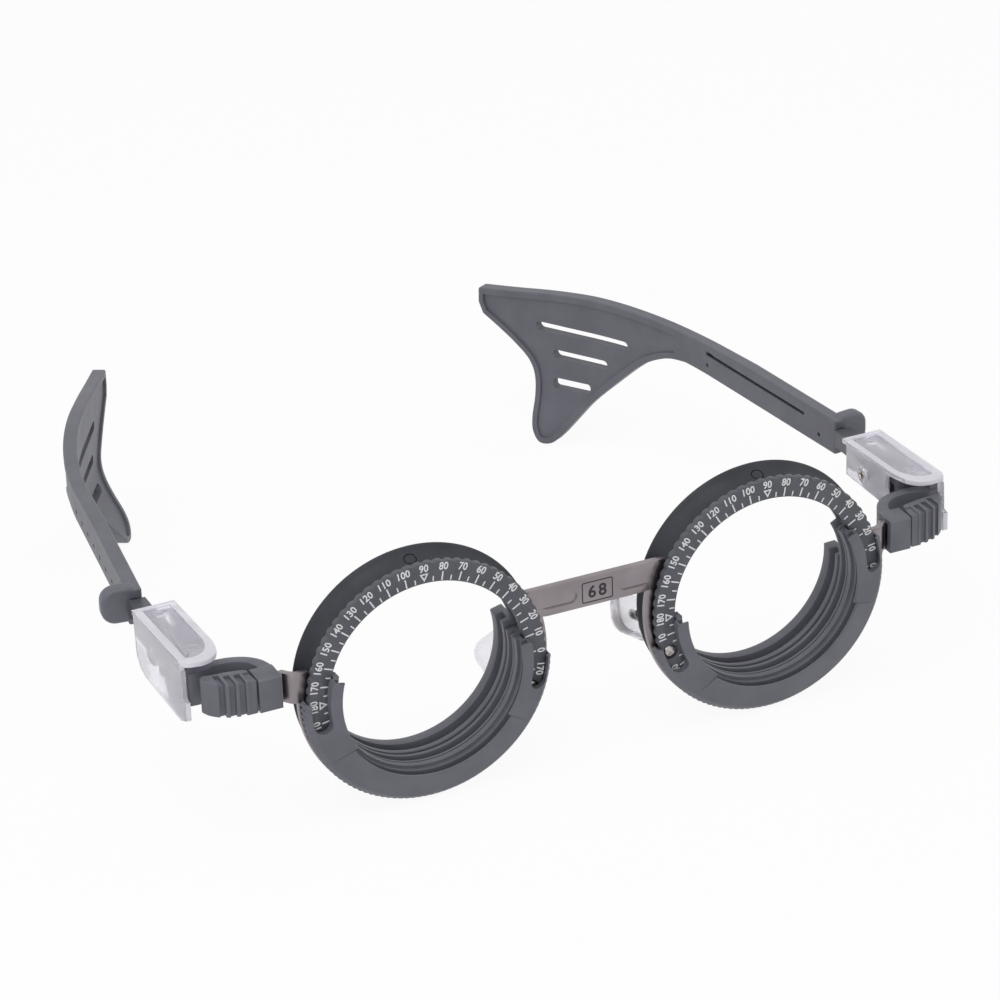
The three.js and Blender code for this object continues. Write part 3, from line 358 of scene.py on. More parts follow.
def spun(name, profile, start=0.0, sweep=360.0, x=EYE):
    """A profile of (radius, depth) points spun about an eye's axis."""
    full = sweep >= 360
    bpy.ops.object.select_all(action="DESELECT")
    bpy.ops.mesh.primitive_circle_add(
        vertices=len(profile), radius=1, fill_type="NOTHING" if full else "NGON"
    )
    piece = bpy.context.object
    piece.name = name
    for vertex, (radius, depth) in zip(piece.data.vertices, profile):
        across_eye, up = polar(radius, start)
        vertex.co = place(x + across_eye, depth, up)
    bpy.ops.object.mode_set(mode="EDIT")
    bpy.ops.mesh.select_all(action="SELECT")
    bpy.ops.mesh.spin(
        steps=max(2, round(RING_STEPS * sweep / 360)),
        angle=math.radians(sweep),
        center=place(x, 0, 0),
        axis=(0, 1, 0),
    )
    bpy.ops.mesh.select_all(action="SELECT")
    bpy.ops.mesh.remove_doubles(threshold=1e-6)
    bpy.ops.mesh.normals_make_consistent(inside=False)
    bpy.ops.object.mode_set(mode="OBJECT")
    return piece


def moulded(name, colour, streak, low, high, grain_mm=0.16, lift=0.000012, gloss=0.5):
    """Injection-moulded plastic: fine spark-eroded grain, and slow flow marks a few millimetres long."""
    material = new_material(name)
    place_on = add_node(material, "ShaderNodeTexCoord")
    flow = add_node(material, "ShaderNodeTexNoise", {"Scale": 180.0, "Detail": 3.0}, {"Vector": place_on.outputs["Object"]})
    tint = add_node(material, "ShaderNodeValToRGB", {}, {"Fac": flow.outputs["Fac"]})
    tint.color_ramp.elements[0].position = 0.35
    tint.color_ramp.elements[0].color = paint(colour)
    tint.color_ramp.elements[1].position = 0.68
    tint.color_ramp.elements[1].color = paint(streak)
    spark = add_node(
        material, "ShaderNodeTexNoise", {"Scale": 1000 / grain_mm, "Detail": 2.0}, {"Vector": place_on.outputs["Object"]}
    )
    rough = add_node(material, "ShaderNodeMapRange", {"To Min": low, "To Max": high}, {"Value": spark.outputs["Fac"]})
    bump = add_node(material, "ShaderNodeBump", {"Strength": 0.6, "Distance": lift}, {"Height": spark.outputs["Fac"]})
    surface = add_node(
        material,
        "ShaderNodeBsdfPrincipled",
        {"Specular IOR Level": gloss, "IOR": 1.5},
        {"Base Color": tint.outputs["Color"], "Roughness": rough.outputs["Result"], "Normal": bump.outputs["Normal"]},
    )
    add_node(material, "ShaderNodeOutputMaterial", {}, {"Surface": surface.outputs["BSDF"]})
    return material


def disc(x, y, radius, steps=48):
    """A round outline."""
    return [(x + a, y + b) for a, b in arc(radius, 0, 360 * (steps - 1) / steps, steps - 1)]


def again(piece, name):
    """A copy of a piece under its own name."""
    twin = piece.copy()
    twin.data = piece.data.copy()
    twin.name = name
    bpy.context.collection.objects.link(twin)
    return twin


def set_turned(piece, degrees, x):
    """Turns a piece about the middle axis, then moves it across to an eye."""
    centre = Matrix.Translation(place(0, 0, 0))
    piece.data.transform(centre @ Matrix.Rotation(-math.radians(degrees), 4, "Y") @ centre.inverted())
    piece.data.transform(Matrix.Translation((x / 1000, 0, 0)))
    return piece


# Glass-filled nylon, moulded against a spark-eroded tool: satin, a little darker than the carriers
shell_nylon = moulded("dark_moulded_nylon", "#34363b", "#3d3e44", 0.42, 0.6, gloss=0.22)

shell_profile = [
    (SHELL_BORE, SHELL_FRONT), (SHELL_NECK, SHELL_FRONT), (SHELL_NECK, 3.2), (21.66, 3.7), (21.82, 4.4), (22.08, 5.05),
    (22.42, 5.65), (22.85, 6.15), (23.25, 6.5), (23.38, 6.66), (FLANGE_RADIUS, 6.85), (23.36, 7.08), (23.24, SHELL_BACK),
    (SHELL_BORE + 0.15, SHELL_BACK), (SHELL_BORE, 7.05),
]
shell = spun("left_dished_shell", shell_profile)
for angle in SCREW_ANGLES:
    boss_x, boss_z = polar(SCREW_CIRCLE, angle)
    post = pressed("boss", [(boss_x + EYE + x, boss_z + z) for x, z in arc(BOSS_RADIUS, 0, 345, 23)], "y", 1.5, 4.5)
    cut(post, pressed("bore", [(EYE + x, z) for x, z in arc(SHELL_BORE + 0.02, 0, 357, 119)], "y", 1, 5))
    cut(shell, post, "UNION")
    pilot = [(boss_x + EYE + x, boss_z + z) for x, z in arc(0.55, 0, 330, 11)]
    cut(shell, pressed("pilot", pilot, "y", 0.5, 3.9))
only(shell)
bpy.ops.object.shade_smooth_by_angle(angle=math.radians(35))
dish_tilt = Matrix.Translation((0, 0.0049, 0.0215)) @ Matrix.Rotation(math.radians(29.5), 4, "X")
middle = Matrix.Translation(place(0, 0, 0))
for piece, side, x, angle in (
    (across(shell, "right_dished_shell"), "right", -EYE, 91.5),
    (shell, "left", EYE, 89.0),
):
    ring = pressed("ejector_mark", disc(0, 0, 1.2), "z", -0.06, 1.0)
    cut(ring, pressed("inside", disc(0, 0, 1.0), "z", -1.0, 2.0))
    ring.data.transform(middle @ dish_tilt @ middle.inverted())
    cut(piece, set_turned(ring, angle - 90, x))
    dress(piece, shell_nylon, "front", "shell_plastic", f"{side}_rear_shell")

# Degree dials
# A flat moulded ring on the front of each shell, with 72 scallops round its
# edge and an axis scale printed on it: a long line each 10 degrees, a short one
# each 5, and figures that count anticlockwise from 0 on the right.

DIAL_BORE, DIAL_RADIUS, DIAL_BACK = 19.09, 23.1, 1.2
SCALLOPS, SCALLOP_DEPTH = 72, 0.36
HEAD_RADIUS = 1.2

# Glass-filled nylon with a fine satin face for the print
dial_nylon = moulded("satin_dial_nylon", "#4a4c53", "#52545b", 0.38, 0.52)

# Pad-printed two-part ink, slightly warm white and matt; a thick coat shows no grain, so its own mottle is faint
print_ink = new_material("white_pad_print")
print_where = add_node(print_ink, "ShaderNodeTexCoord")
print_mottle = add_node(print_ink, "ShaderNodeTexNoise", {"Scale": 2500.0}, {"Vector": print_where.outputs["Object"]})
print_tint = add_node(print_ink, "ShaderNodeValToRGB", {}, {"Fac": print_mottle.outputs["Fac"]})
print_tint.color_ramp.elements[0].color = paint("#cfcfd2")
print_tint.color_ramp.elements[1].color = paint("#ececee")
print_surface = add_node(
    print_ink, "ShaderNodeBsdfPrincipled", {"Roughness": 0.5}, {"Base Color": print_tint.outputs["Color"]}
)
add_node(print_ink, "ShaderNodeOutputMaterial", {}, {"Surface": print_surface.outputs["BSDF"]})

rim = []
for i in range(SCALLOPS * 6):
    wave = abs(math.sin(math.pi * i / 6))
    rim.append(polar(DIAL_RADIUS - SCALLOP_DEPTH * (1 - wave), 360 * i / (SCALLOPS * 6)))
dial = pressed("left_degree_dial", [(x + EYE, z) for x, z in rim], "y", 0, DIAL_BACK)
cut(dial, pressed("bore", [(EYE + x, z) for x, z in arc(DIAL_BORE, 0, 358, 179)], "y", -1, 3))
for angle in SCREW_ANGLES:
    seat_x, seat_z = polar(SCREW_CIRCLE, angle)
    for radius, back in ((HEAD_RADIUS + 0.3, 0.75), (0.55, 3)):
        hole = [(seat_x + EYE + x, seat_z + z) for x, z in arc(radius, 0, 350, 35)]
        cut(dial, pressed("seat", hole, "y", -1, back))
rounded(dial, 0.1, 2, 50)

TRIANGLE_ANGLES = (90, 180)
print_parts = []
for first, step, length, width in ((0, 10, 1.7, 0.26), (5, 10, 0.95, 0.23)):
    line = [(19.3, -width / 2), (19.3 + length, -width / 2), (19.3 + length, width / 2), (19.3, width / 2)]
    for degrees in range(first, 360, step):
        if degrees not in TRIANGLE_ANGLES + SCREW_ANGLES:
            tick = pressed("tick", line, "y", -0.04, 0.02)
            print_parts.append(set_turned(tick, degrees, EYE))
for degrees in TRIANGLE_ANGLES:
    arrow = pressed("arrow", [(19.45, 0), (21.0, -0.85), (21.0, 0.85)], "y", -0.04, 0.02)
    cut(arrow, pressed("inside", [(20.0, 0), (20.75, -0.43), (20.75, 0.43)], "y", -1, 1))
    print_parts.append(set_turned(arrow, degrees, EYE))
for degrees in [step for step in range(0, 360, 10) if step not in SCREW_ANGLES]:
    reading = degrees % 180 if degrees != 180 else 180
    number = figures("number", str(reading), 1.4, 0.08, 0.04)
    number.data.transform(Matrix.Scale(0.9, 4, (1, 0, 0)))
    number.data.transform(Matrix.Rotation(math.pi / 2, 4, "Y"))
    number.data.transform(Matrix.Translation(place(22.05, 0, 0)))
    print_parts.append(set_turned(number, degrees, EYE))
dial_print = joined(print_parts, "left_dial_print")

for piece, ink, side, shift in ((dial, dial_print, "left", 0), (None, None, "right", -2 * EYE)):
    if piece is None:
        piece = dial.copy()
        piece.data = dial.data.copy()
        piece.name = "right_degree_dial"
        ink = dial_print.copy()
        ink.data = dial_print.data.copy()
        ink.name = "right_dial_print"
        for copy in (piece, ink):
            bpy.context.collection.objects.link(copy)
            copy.data.transform(Matrix.Translation((shift / 1000, 0, 0)))
    dress(piece, dial_nylon, "front", "dial_plastic", f"{side}_axis_dial")
    ink.data.materials.clear()
    ink.data.materials.append(print_ink)
    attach(ink, "front")

# Dial screws
# Three small cross-head screws through each dial into the shell's bosses,
# nickel-plated steel with a slightly domed head.

# Nickel plate over steel: bright, with faint turning marks of about 0.05 mm
nickel = new_material("nickel_plated_steel")
nickel_where = add_node(nickel, "ShaderNodeTexCoord")
nickel_marks = add_node(nickel, "ShaderNodeTexNoise", {"Scale": 9000.0, "Detail": 2.0}, {"Vector": nickel_where.outputs["Object"]})
nickel_rough = add_node(nickel, "ShaderNodeMapRange", {"To Min": 0.2, "To Max": 0.38}, {"Value": nickel_marks.outputs["Fac"]})
nickel_surface = add_node(
    nickel,
    "ShaderNodeBsdfPrincipled",
    {"Base Color": paint("#b7b2ae"), "Metallic": 1.0},
    {"Roughness": nickel_rough.outputs["Result"]},
)
add_node(nickel, "ShaderNodeOutputMaterial", {}, {"Surface": nickel_surface.outputs["BSDF"]})

head_profile = [(0.0, 0.1), (0.5, 0.12), (0.9, 0.19), (1.12, 0.29), (1.2, 0.4), (1.2, 0.55), (0.35, 0.55), (0.35, 3.5), (0.2, 3.6), (0.0, 3.6)]


def turned_pin(name, profile, x, z, steps=32):
    """A turned piece along the depth axis, from (radius, depth) points that start and end on its axis."""
    bpy.ops.object.select_all(action="DESELECT")
    bpy.ops.mesh.primitive_circle_add(vertices=len(profile), radius=1, fill_type="NOTHING")
    piece = bpy.context.object
    piece.name = name
    for vertex, (radius, depth) in zip(piece.data.vertices, profile):
        vertex.co = place(x + radius, depth, z)
    bpy.ops.object.mode_set(mode="EDIT")
    bpy.ops.mesh.select_all(action="SELECT")
    bpy.ops.mesh.spin(steps=steps, angle=2 * math.pi, center=place(x, 0, z), axis=(0, -1, 0))
    bpy.ops.mesh.select_all(action="SELECT")
    bpy.ops.mesh.remove_doubles(threshold=1e-6)
    bpy.ops.mesh.delete_loose()
    bpy.ops.mesh.select_all(action="SELECT")
    bpy.ops.mesh.normals_make_consistent(inside=False)
    bpy.ops.object.mode_set(mode="OBJECT")
    return piece


screw = turned_pin("cross_head_screw", head_profile, 0, 0)
for width, height in ((1.6, 0.46), (0.46, 1.6)):
    slot_outline = [(-width / 2, -height / 2), (width / 2, -height / 2), (width / 2, height / 2), (-width / 2, height / 2)]
    cut(screw, pressed("cross", slot_outline, "y", -0.5, 0.5))
only(screw)
bpy.ops.object.shade_smooth_by_angle(angle=math.radians(35))
for side, sign in (("left", 1), ("right", -1)):
    for count, angle in enumerate(SCREW_ANGLES, 1):
        x, z = polar(SCREW_CIRCLE, angle)
        piece = screw.copy()
        piece.data = screw.data.copy()
        piece.name = f"{side}_cross_head_{count}"
        bpy.context.collection.objects.link(piece)
        centre = Matrix.Translation(place(0, 0, 0))
        piece.data.transform(centre @ Matrix.Rotation(math.radians(33 * count), 4, "Y") @ centre.inverted())
        piece.data.transform(Matrix.Translation(place(sign * (EYE + x), 0, z) - place(0, 0, 0)))
        dress(piece, nickel, "front", "pin_steel", f"{side}_dial_screw_{count}")
bpy.data.objects.remove(screw, do_unlink=True)

# Lens carriers
# The front half of each turning carrier: a half ring grooved for a trial lens, a
# knurled skirt to turn it by, and a forked finger at each end that holds the lens.
# Moulded in grey nylon, and pinned to its keeper through the dial's bore.

TURNS = {"left": 15, "right": -2.5}
TOOTH_TIP, TOOTH_DEPTH, TOOTH_PITCH = 24.0, 0.32, 3
SKIRT_REACH, FORK_REACH, FINGER_REACH, FACE_REACH = 90, 74, 103, 57
FINGER_OUTER, FORK_OUTER = 19.65, 22.9

# Nylon with a fine spark-eroded face, mid grey
carrier_nylon = moulded("grey_moulded_nylon", "#5d5e67", "#65666f", 0.4, 0.55)

carrier_profile = [
    (17.5, -2.32), (17.56, -2.48), (17.68, -2.58), (17.84, -2.6), (18.25, -2.6), (18.5, -2.56), (22.6, -1.3), (22.9, -1.2),
    (23.1, -1.05), (25.0, 1.28), (25.0, 1.4), (23.4, 1.4), (23.4, -0.3), (18.79, -0.3), (18.79, 1.5), (17.5, 1.5),
    (17.5, 0.3), (18.0, 0.3), (18.0, -0.8), (19.05, -0.8), (19.05, -2.0), (17.5, -2.0),
]
knurl = []
for i in range(4 * round(2 * SKIRT_REACH / TOOTH_PITCH) + 1):
    wave = abs(math.sin(math.pi * i / 4))
    knurl.append(polar(TOOTH_TIP - TOOTH_DEPTH * (1 - wave), 270 - SKIRT_REACH + TOOTH_PITCH * i / 4))
fork_width = (FORK_OUTER - FINGER_OUTER) / 2
fork_middle = FINGER_OUTER + fork_width
fork_reach = FORK_REACH + math.degrees(fork_width / fork_middle)
forks = []
for side in (1, -1):
    bottom_x, bottom_z = polar(fork_middle, 270 + side * fork_reach)
    bottom = arc(fork_width, 270 + side * fork_reach, 270 + side * (fork_reach - 180), 12)[1:-1]
    forks.append(
        arc(FORK_OUTER, 270 + side * SKIRT_REACH, 270 + side * fork_reach, 6)
        + [(bottom_x + x, bottom_z + z) for x, z in bottom]
        + arc(FINGER_OUTER, 270 + side * fork_reach, 270 + side * (FINGER_REACH - 2.2), 10)
        + [polar(FINGER_OUTER - 0.25, 270 + side * (FINGER_REACH - 0.7)), polar(18.7, 270 + side * FINGER_REACH)]
    )
carrier_outline = knurl + forks[0] + arc(16.5, 270 + FINGER_REACH, 270 - FINGER_REACH, 70) + forks[1][::-1]

carrier = spun("turning_carrier", carrier_profile, x=0)
cut(carrier, pressed("outline", carrier_outline, "y", -3.6, 1.9), "INTERSECT")
wide_lip = [(17.0, -3.2), (18.15, -3.2), (18.15, -1.95), (17.0, -1.95)]
cut(carrier, spun("wide_lip", wide_lip, 270 - FACE_REACH, 2 * FACE_REACH, 0))
for start in (270 + FACE_REACH, 270 - FINGER_REACH - 2):
    thinned = [(17.0, -3.2), (23.2, -3.2), (23.2, -1.3), (22.6, -1.28), (18.4, -2.44), (17.0, -2.44)]
    cut(carrier, spun("thinned_finger", thinned, start, FINGER_REACH + 2 - FACE_REACH, 0))
rounded(carrier, 0.07, 2, 70)
bpy.ops.object.shade_smooth_by_angle(angle=math.radians(28))
for side, sign in (("left", 1), ("right", -1)):
    piece = set_turned(again(carrier, f"{side}_knurled_carrier"), TURNS[side], sign * EYE)
    dress(piece, carrier_nylon, f"{side}_carrier", "grey_plastic", f"{side}_lens_carrier")
bpy.data.objects.remove(carrier, do_unlink=True)

# Carrier keepers
# The half of each carrier behind the dial: a full ring that runs in the shell's
# bore, with a second half-round lens groove. The same grey nylon.

keeper = spun("keeper", [(19.3, 1.5), (20.0, 1.5), (20.0, 2.6), (19.3, 2.6)], x=0)
keeper_groove = [
    (17.5, 1.8), (19.96, 1.8), (19.96, 4.8), (17.7, 4.8), (17.56, 4.74), (17.5, 4.6),
    (17.5, 3.9), (19.05, 3.9), (19.05, 2.3), (17.5, 2.3),
]
cut(keeper, spun("groove", keeper_groove, 270 - FINGER_REACH, 2 * FINGER_REACH, 0), "UNION")
rounded(keeper, 0.06, 2, 60)
for side, sign in (("left", 1), ("right", -1)):
    piece = set_turned(again(keeper, f"{side}_keeper_ring"), TURNS[side], sign * EYE)
    dress(piece, carrier_nylon, f"{side}_carrier", "grey_plastic", f"{side}_carrier_keeper")
bpy.data.objects.remove(keeper, do_unlink=True)

# Rear lens cells
# The fixed cell at the back of each shell's bore: a ring that snaps in, with a
# deeper half-round groove for the lens that stays still. Grey nylon.

cell = spun("left_snap_in_cell", [(19.3, 5.1), (20.0, 5.1), (20.0, 6.2), (19.3, 6.2)])
cell_groove = [
    (17.5, 5.4), (19.96, 5.4), (19.96, 10.85), (19.85, 11.0), (17.9, 11.0), (17.6, 10.88), (17.5, 10.6),
    (17.5, 8.6), (19.05, 8.6), (19.05, 6.4), (17.5, 6.4),
]
cut(cell, spun("groove", cell_groove, 166, 196), "UNION")
rounded(cell, 0.08, 2, 60)
for piece, side in ((across(cell, "right_snap_in_cell"), "right"), (cell, "left")):
    dress(piece, carrier_nylon, "front", "grey_plastic", f"{side}_rear_lens_cell")

# Nose pads
# A soft clear pad on each side of the nose, moulded round a small metal core
# that clips into the arm. The arm is a bent nylon rod with its foot on the flange.

PAD_MIDDLE = Vector((EYE - 21.2, 13.5, -6.0))
pad_facing = Vector((0.587, -0.674, 0.45)).normalized()
pad_along = Vector((0.755, 0.257, -0.6))
pad_along = (pad_along - pad_facing * pad_along.dot(pad_facing)).normalized()
pad_across = pad_facing.cross(pad_along)
PAD_LENGTH, PAD_WIDTH, PAD_CORNER = 12.0, 8.0, 3.0

# Clear silicone: soft, a little cloudy, with faint dust-like bloom under a millimetre across
silicone = new_material("clear_silicone_rubber")
pad_where = add_node(silicone, "ShaderNodeTexCoord")
pad_bloom = add_node(silicone, "ShaderNodeTexNoise", {"Scale": 2200.0, "Detail": 2.0}, {"Vector": pad_where.outputs["Object"]})
pad_rough = add_node(silicone, "ShaderNodeMapRange", {"To Min": 0.08, "To Max": 0.26}, {"Value": pad_bloom.outputs["Fac"]})
pad_surface = add_node(
    silicone,
    "ShaderNodeBsdfPrincipled",
    {"Base Color": paint("#f3f2f7"), "IOR": 1.41, "Transmission Weight": 0.88},
    {"Roughness": pad_rough.outputs["Result"]},
)
add_node(silicone, "ShaderNodeOutputMaterial", {}, {"Surface": pad_surface.outputs["BSDF"]})


def set_on_pad(piece):
    """Moves a piece drawn flat at the middle, facing up, onto the left pad."""
    turn = Matrix((pad_along, pad_across, pad_facing)).transposed().to_4x4()
    piece.data.transform(Matrix.Translation(place(*PAD_MIDDLE)) @ turn @ Matrix.Translation(-place(0, 0, 0)))
    return piece


pad = pressed("left_soft_pad", round_box(0, 0, PAD_LENGTH, PAD_WIDTH, PAD_CORNER), "z", -1.0, 1.0)
rounded(pad, 0.7, 4, 50)
pad_core = pressed("left_pad_core", round_box(0, 0, 3.4, 1.8, 0.8), "z", -0.3, 0.3)
rounded(pad_core, 0.1, 2, 50)
for flat in (pad, pad_core):
    set_on_pad(flat)
for piece, side in ((across(pad, "right_soft_pad"), "right"), (pad, "left")):
    dress(piece, silicone, "front", "clear_silicone", f"{side}_nose_pad")
for piece in (across(pad_core, "right_pad_core"), pad_core):
    piece.data.materials.clear()
    piece.data.materials.append(nickel)
    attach(piece, "front")

foot_x, foot_z = polar(21.85, 197)
seat = PAD_MIDDLE + pad_facing * 1.3
pad_path = [
    Vector((EYE + foot_x, 8.0, foot_z)), Vector((EYE + foot_x, 9.5, foot_z)), seat + pad_facing, seat,
]
bpy.ops.object.select_all(action="DESELECT")
bpy.ops.curve.primitive_bezier_curve_add()
stem = bpy.context.object
stem.name = "left_pad_stem"
line = stem.data.splines[0]
line.bezier_points.add(2)
for knot, point in zip(line.bezier_points, pad_path):
    knot.co = place(*point)
    knot.handle_left_type = knot.handle_right_type = "AUTO"
stem.data.bevel_depth = 0.0008
stem.data.bevel_resolution = 5
stem.data.resolution_u = 10
stem.data.use_fill_caps = True
bpy.ops.object.convert(target="MESH")
stem = bpy.context.object
only(stem)
bpy.ops.object.mode_set(mode="EDIT")
bpy.ops.mesh.select_all(action="SELECT")
bpy.ops.mesh.remove_doubles(threshold=1e-7)
bpy.ops.mesh.normals_make_consistent(inside=False)
bpy.ops.object.mode_set(mode="OBJECT")
foot = arc(22.85, 192, 202, 8) + arc(20.85, 202, 192, 8)
cut(stem, pressed("foot", [(EYE + x, z) for x, z in foot], "y", 7.5, 8.5), "UNION")
rounded(stem, 0.1, 2, 60)
for piece, side in ((across(stem, "right_pad_stem"), "right"), (stem, "left")):
    dress(piece, shell_nylon, "front", "shell_plastic", f"{side}_nose_pad_arm")

# End clips
# A block pushed onto each lug, a springy band round the back of the grip, and a
# post with the knuckle that the temple folds on. Grey nylon, moulded in one piece.

CLIP_X, CLIP_FRONT, CLIP_BACK = 60.9, 2.2, 13.05
CLIP_LOW, CLIP_HIGH = 0.2, 6.6
PIN = (72.57, 17.2)
KNUCKLE_LOW, KNUCKLE_HIGH = 2.9, 5.3


def spread(shares, corner, size):
    """Points given as shares of a size, laid out from a corner."""
    return [(corner[0] + a * size[0], corner[1] + b * size[1]) for a, b in shares]


def flowing(points, steps=6):
    """A smooth line through points."""
    drawn = []
    for i in range(len(points) - 1):
        before, first, last = points[max(i - 1, 0)], points[i], points[i + 1]
        after = points[min(i + 2, len(points) - 1)]
        for k in range(steps):
            t = k / steps
            drawn.append(tuple(
                (2 * b - 2 * c + (c - a) / 2 + (d - b) / 2) * t**3
                + (-3 * b + 3 * c - (c - a) - (d - b) / 2) * t**2
                + (c - a) / 2 * t
                + b
                for a, b, c, d in zip(before, first, last, after)
            ))
    return drawn + [points[-1]]


clip_size = (14.4, CLIP_BACK - CLIP_FRONT)
band_outer = spread(
    [(0, 0.387), (0.069, 0.654), (0.201, 0.848), (0.375, 0.959), (0.549, 1), (0.771, 0.991), (0.924, 0.922)],
    (CLIP_X, CLIP_FRONT), clip_size,
)
band_end = spread([(1, 0.85), (1, 0.74)], (CLIP_X, CLIP_FRONT), clip_size)
band_inner = spread(
    [(0.882, 0.728), (0.722, 0.783), (0.556, 0.829), (0.361, 0.774), (0.236, 0.645), (0.181, 0.479)],
    (CLIP_X, CLIP_FRONT), clip_size,
)
band = flowing(band_outer) + band_end + flowing(band_inner) + [(band_inner[-1][0], band_outer[0][1])]
clip = pressed("left_grip_clip", band, "z", CLIP_LOW, CLIP_HIGH)
block_side = [(2.2, 0.2), (6.8, 0.2), (6.8, 6.65), (2.5, 6.65), (2.2, 6.4)]
cut(clip, pressed("block", block_side, "x", CLIP_X, 65.2), "UNION")
cut(clip, pressed("slot", [(59.9, 3.4), (64.6, 3.4), (64.6, 5.2), (59.9, 5.2)], "z", 0.9, 5.7))
post = [(73.9, 10.45), (75.6, 10.45), (75.6, CLIP_BACK), (73.9, CLIP_BACK)]
cut(clip, pressed("post", post, "z", 0.2, 7.6), "UNION")
cut(clip, pressed("web", capsule((74.75, 12.15), PIN, 0.9), "z", KNUCKLE_LOW, KNUCKLE_HIGH), "UNION")
cut(clip, pressed("knuckle", disc(*PIN, 2.2), "z", KNUCKLE_LOW, KNUCKLE_HIGH), "UNION")
cut(clip, pressed("bore", disc(*PIN, 1.0), "z", 0, 8.6))
rounded(clip, 0.16, 2, 42)
for piece, side in ((across(clip, "right_grip_clip"), "right"), (clip, "left")):
    dress(piece, carrier_nylon, "front", "grey_plastic", f"{side}_end_clip")

# Grip levers
# The ribbed front of each clip, pressed between finger and thumb when the frame
# is put on. It bends at its root beside the block. Grey nylon.

LEVER_LOW, LEVER_HIGH = 0.2, 7.0
lever_points = spread(
    [
        (0, 0.017), (0.182, 0.033), (0.398, 0.083), (0.614, 0.183), (0.807, 0.367), (0.932, 0.567),
        (1, 0.833), (0.932, 0.983), (0.761, 0.933), (0.432, 0.883), (0.125, 0.783), (0.045, 0.733),
    ],
    (65.5, CLIP_FRONT), (8.8, 6.0),
)
lever_outline = flowing(lever_points[:6], 4)[:-1] + flowing(lever_points[5:8], 4)[:-1] + lever_points[7:]
lever = pressed("left_ribbed_lever", lever_outline, "z", LEVER_LOW, LEVER_HIGH)
rounded(lever, 0.35, 3, 50)
rib_gaps = ((66.25, 2.25, 1.4, 0.3), (68.1, 2.5, 1.15, 0.7), (69.85, 2.92, 1.15, 0.7), (71.55, 3.76, 1.05, 0.7))
for middle, front, width, depth in rib_gaps:
    left, right = middle - width / 2, middle + width / 2
    groove = [(left, front - 1), (right, front - 1), (right, front + depth), (left, front + depth)]
    cut(lever, pressed("rib_gap", groove, "z", -1, 8))
    top = [(left, front - 1), (right, front - 1), (right, front + 3.3), (left, front + 3.3)]
    cut(lever, pressed("rib_gap_top", top, "z", LEVER_HIGH - depth, 8))
rounded(lever, 0.07, 2, 55)
for piece, side in ((across(lever, "right_ribbed_lever"), "right"), (lever, "left")):
    dress(piece, carrier_nylon, f"{side}_grip", "grey_plastic", f"{side}_grip_lever")

# Fold pins
# A turned steel pin through the knuckle and the hinge block's two lugs,
# pressed into the lugs so that the knuckle turns on it.

pin = pressed("left_turned_pin", disc(*PIN, 0.8, 40), "z", 0.4, 7.8)
rounded(pin, 0.12, 2, 50)
for piece, side in ((across(pin, "right_turned_pin"), "right"), (pin, "left")):
    dress(piece, nickel, f"{side}_hinge", "pin_steel", f"{side}_fold_pin")

# Hinge covers
# A clear box over each hinge: a sloping lid with a window sunk in it, a long
# outer wall with a foot, and a short inner wall that carries the tilt screw.

COVER_IN, COVER_OUT = 68.57, 76.77
COVER_FRONT, COVER_BACK = 8.5, 34.6
COVER_SKIN = 0.9
TILT = (26.2, 4.1)

# Clear polycarbonate, moulded: a glassy face with a faint satin bloom and slow ripples a few millimetres long
clear_plastic = new_material("clear_moulded_polycarbonate")
clear_where = add_node(clear_plastic, "ShaderNodeTexCoord")
clear_ripple = add_node(clear_plastic, "ShaderNodeTexNoise", {"Scale": 320.0, "Detail": 2.0}, {"Vector": clear_where.outputs["Object"]})
clear_bloom = add_node(clear_plastic, "ShaderNodeTexNoise", {"Scale": 4000.0, "Detail": 2.0}, {"Vector": clear_where.outputs["Object"]})
clear_rough = add_node(clear_plastic, "ShaderNodeMapRange", {"To Min": 0.06, "To Max": 0.2}, {"Value": clear_bloom.outputs["Fac"]})
clear_bump = add_node(
    clear_plastic, "ShaderNodeBump", {"Strength": 0.3, "Distance": 0.00002}, {"Height": clear_ripple.outputs["Fac"]}
)
clear_surface = add_node(
    clear_plastic,
    "ShaderNodeBsdfPrincipled",
    {"Base Color": paint("#f4f2fb"), "IOR": 1.45, "Transmission Weight": 0.74},
    {"Roughness": clear_rough.outputs["Result"], "Normal": clear_bump.outputs["Normal"]},
)
add_node(clear_plastic, "ShaderNodeOutputMaterial", {}, {"Surface": clear_surface.outputs["BSDF"]})

# The same polycarbonate on the lid's rim and the walls' edges, made whiter, rougher and less clear there: a painted
# highlight where these edges catch the light and look white
painted_rim_highlight = new_material("polycarbonate_painted_rim_highlight")
rim_where = add_node(painted_rim_highlight, "ShaderNodeTexCoord")
rim_bloom = add_node(painted_rim_highlight, "ShaderNodeTexNoise", {"Scale": 5000.0, "Detail": 2.0}, {"Vector": rim_where.outputs["Object"]})
rim_rough = add_node(painted_rim_highlight, "ShaderNodeMapRange", {"To Min": 0.25, "To Max": 0.45}, {"Value": rim_bloom.outputs["Fac"]})
rim_surface = add_node(
    painted_rim_highlight,
    "ShaderNodeBsdfPrincipled",
    {"Base Color": paint("#f6f4fc"), "IOR": 1.45, "Transmission Weight": 0.3},
    {"Roughness": rim_rough.outputs["Result"]},
)
add_node(painted_rim_highlight, "ShaderNodeOutputMaterial", {}, {"Surface": rim_surface.outputs["BSDF"]})


def lid_height(y):
    """The sloping lid's upper face at a depth."""
    return 9.6 + (8.1 - 9.6) * (y - COVER_FRONT) / (COVER_BACK - COVER_FRONT)


def lid_slice(name, low_x, high_x, front, back, below, above):
    """A strip that follows the lid's slope, from below to above its upper face."""
    side_view = [
        (front, lid_height(front) + above), (front, lid_height(front) + below),
        (back, lid_height(back) + below), (back, lid_height(back) + above),
    ]
    return pressed(name, side_view, "x", low_x, high_x)


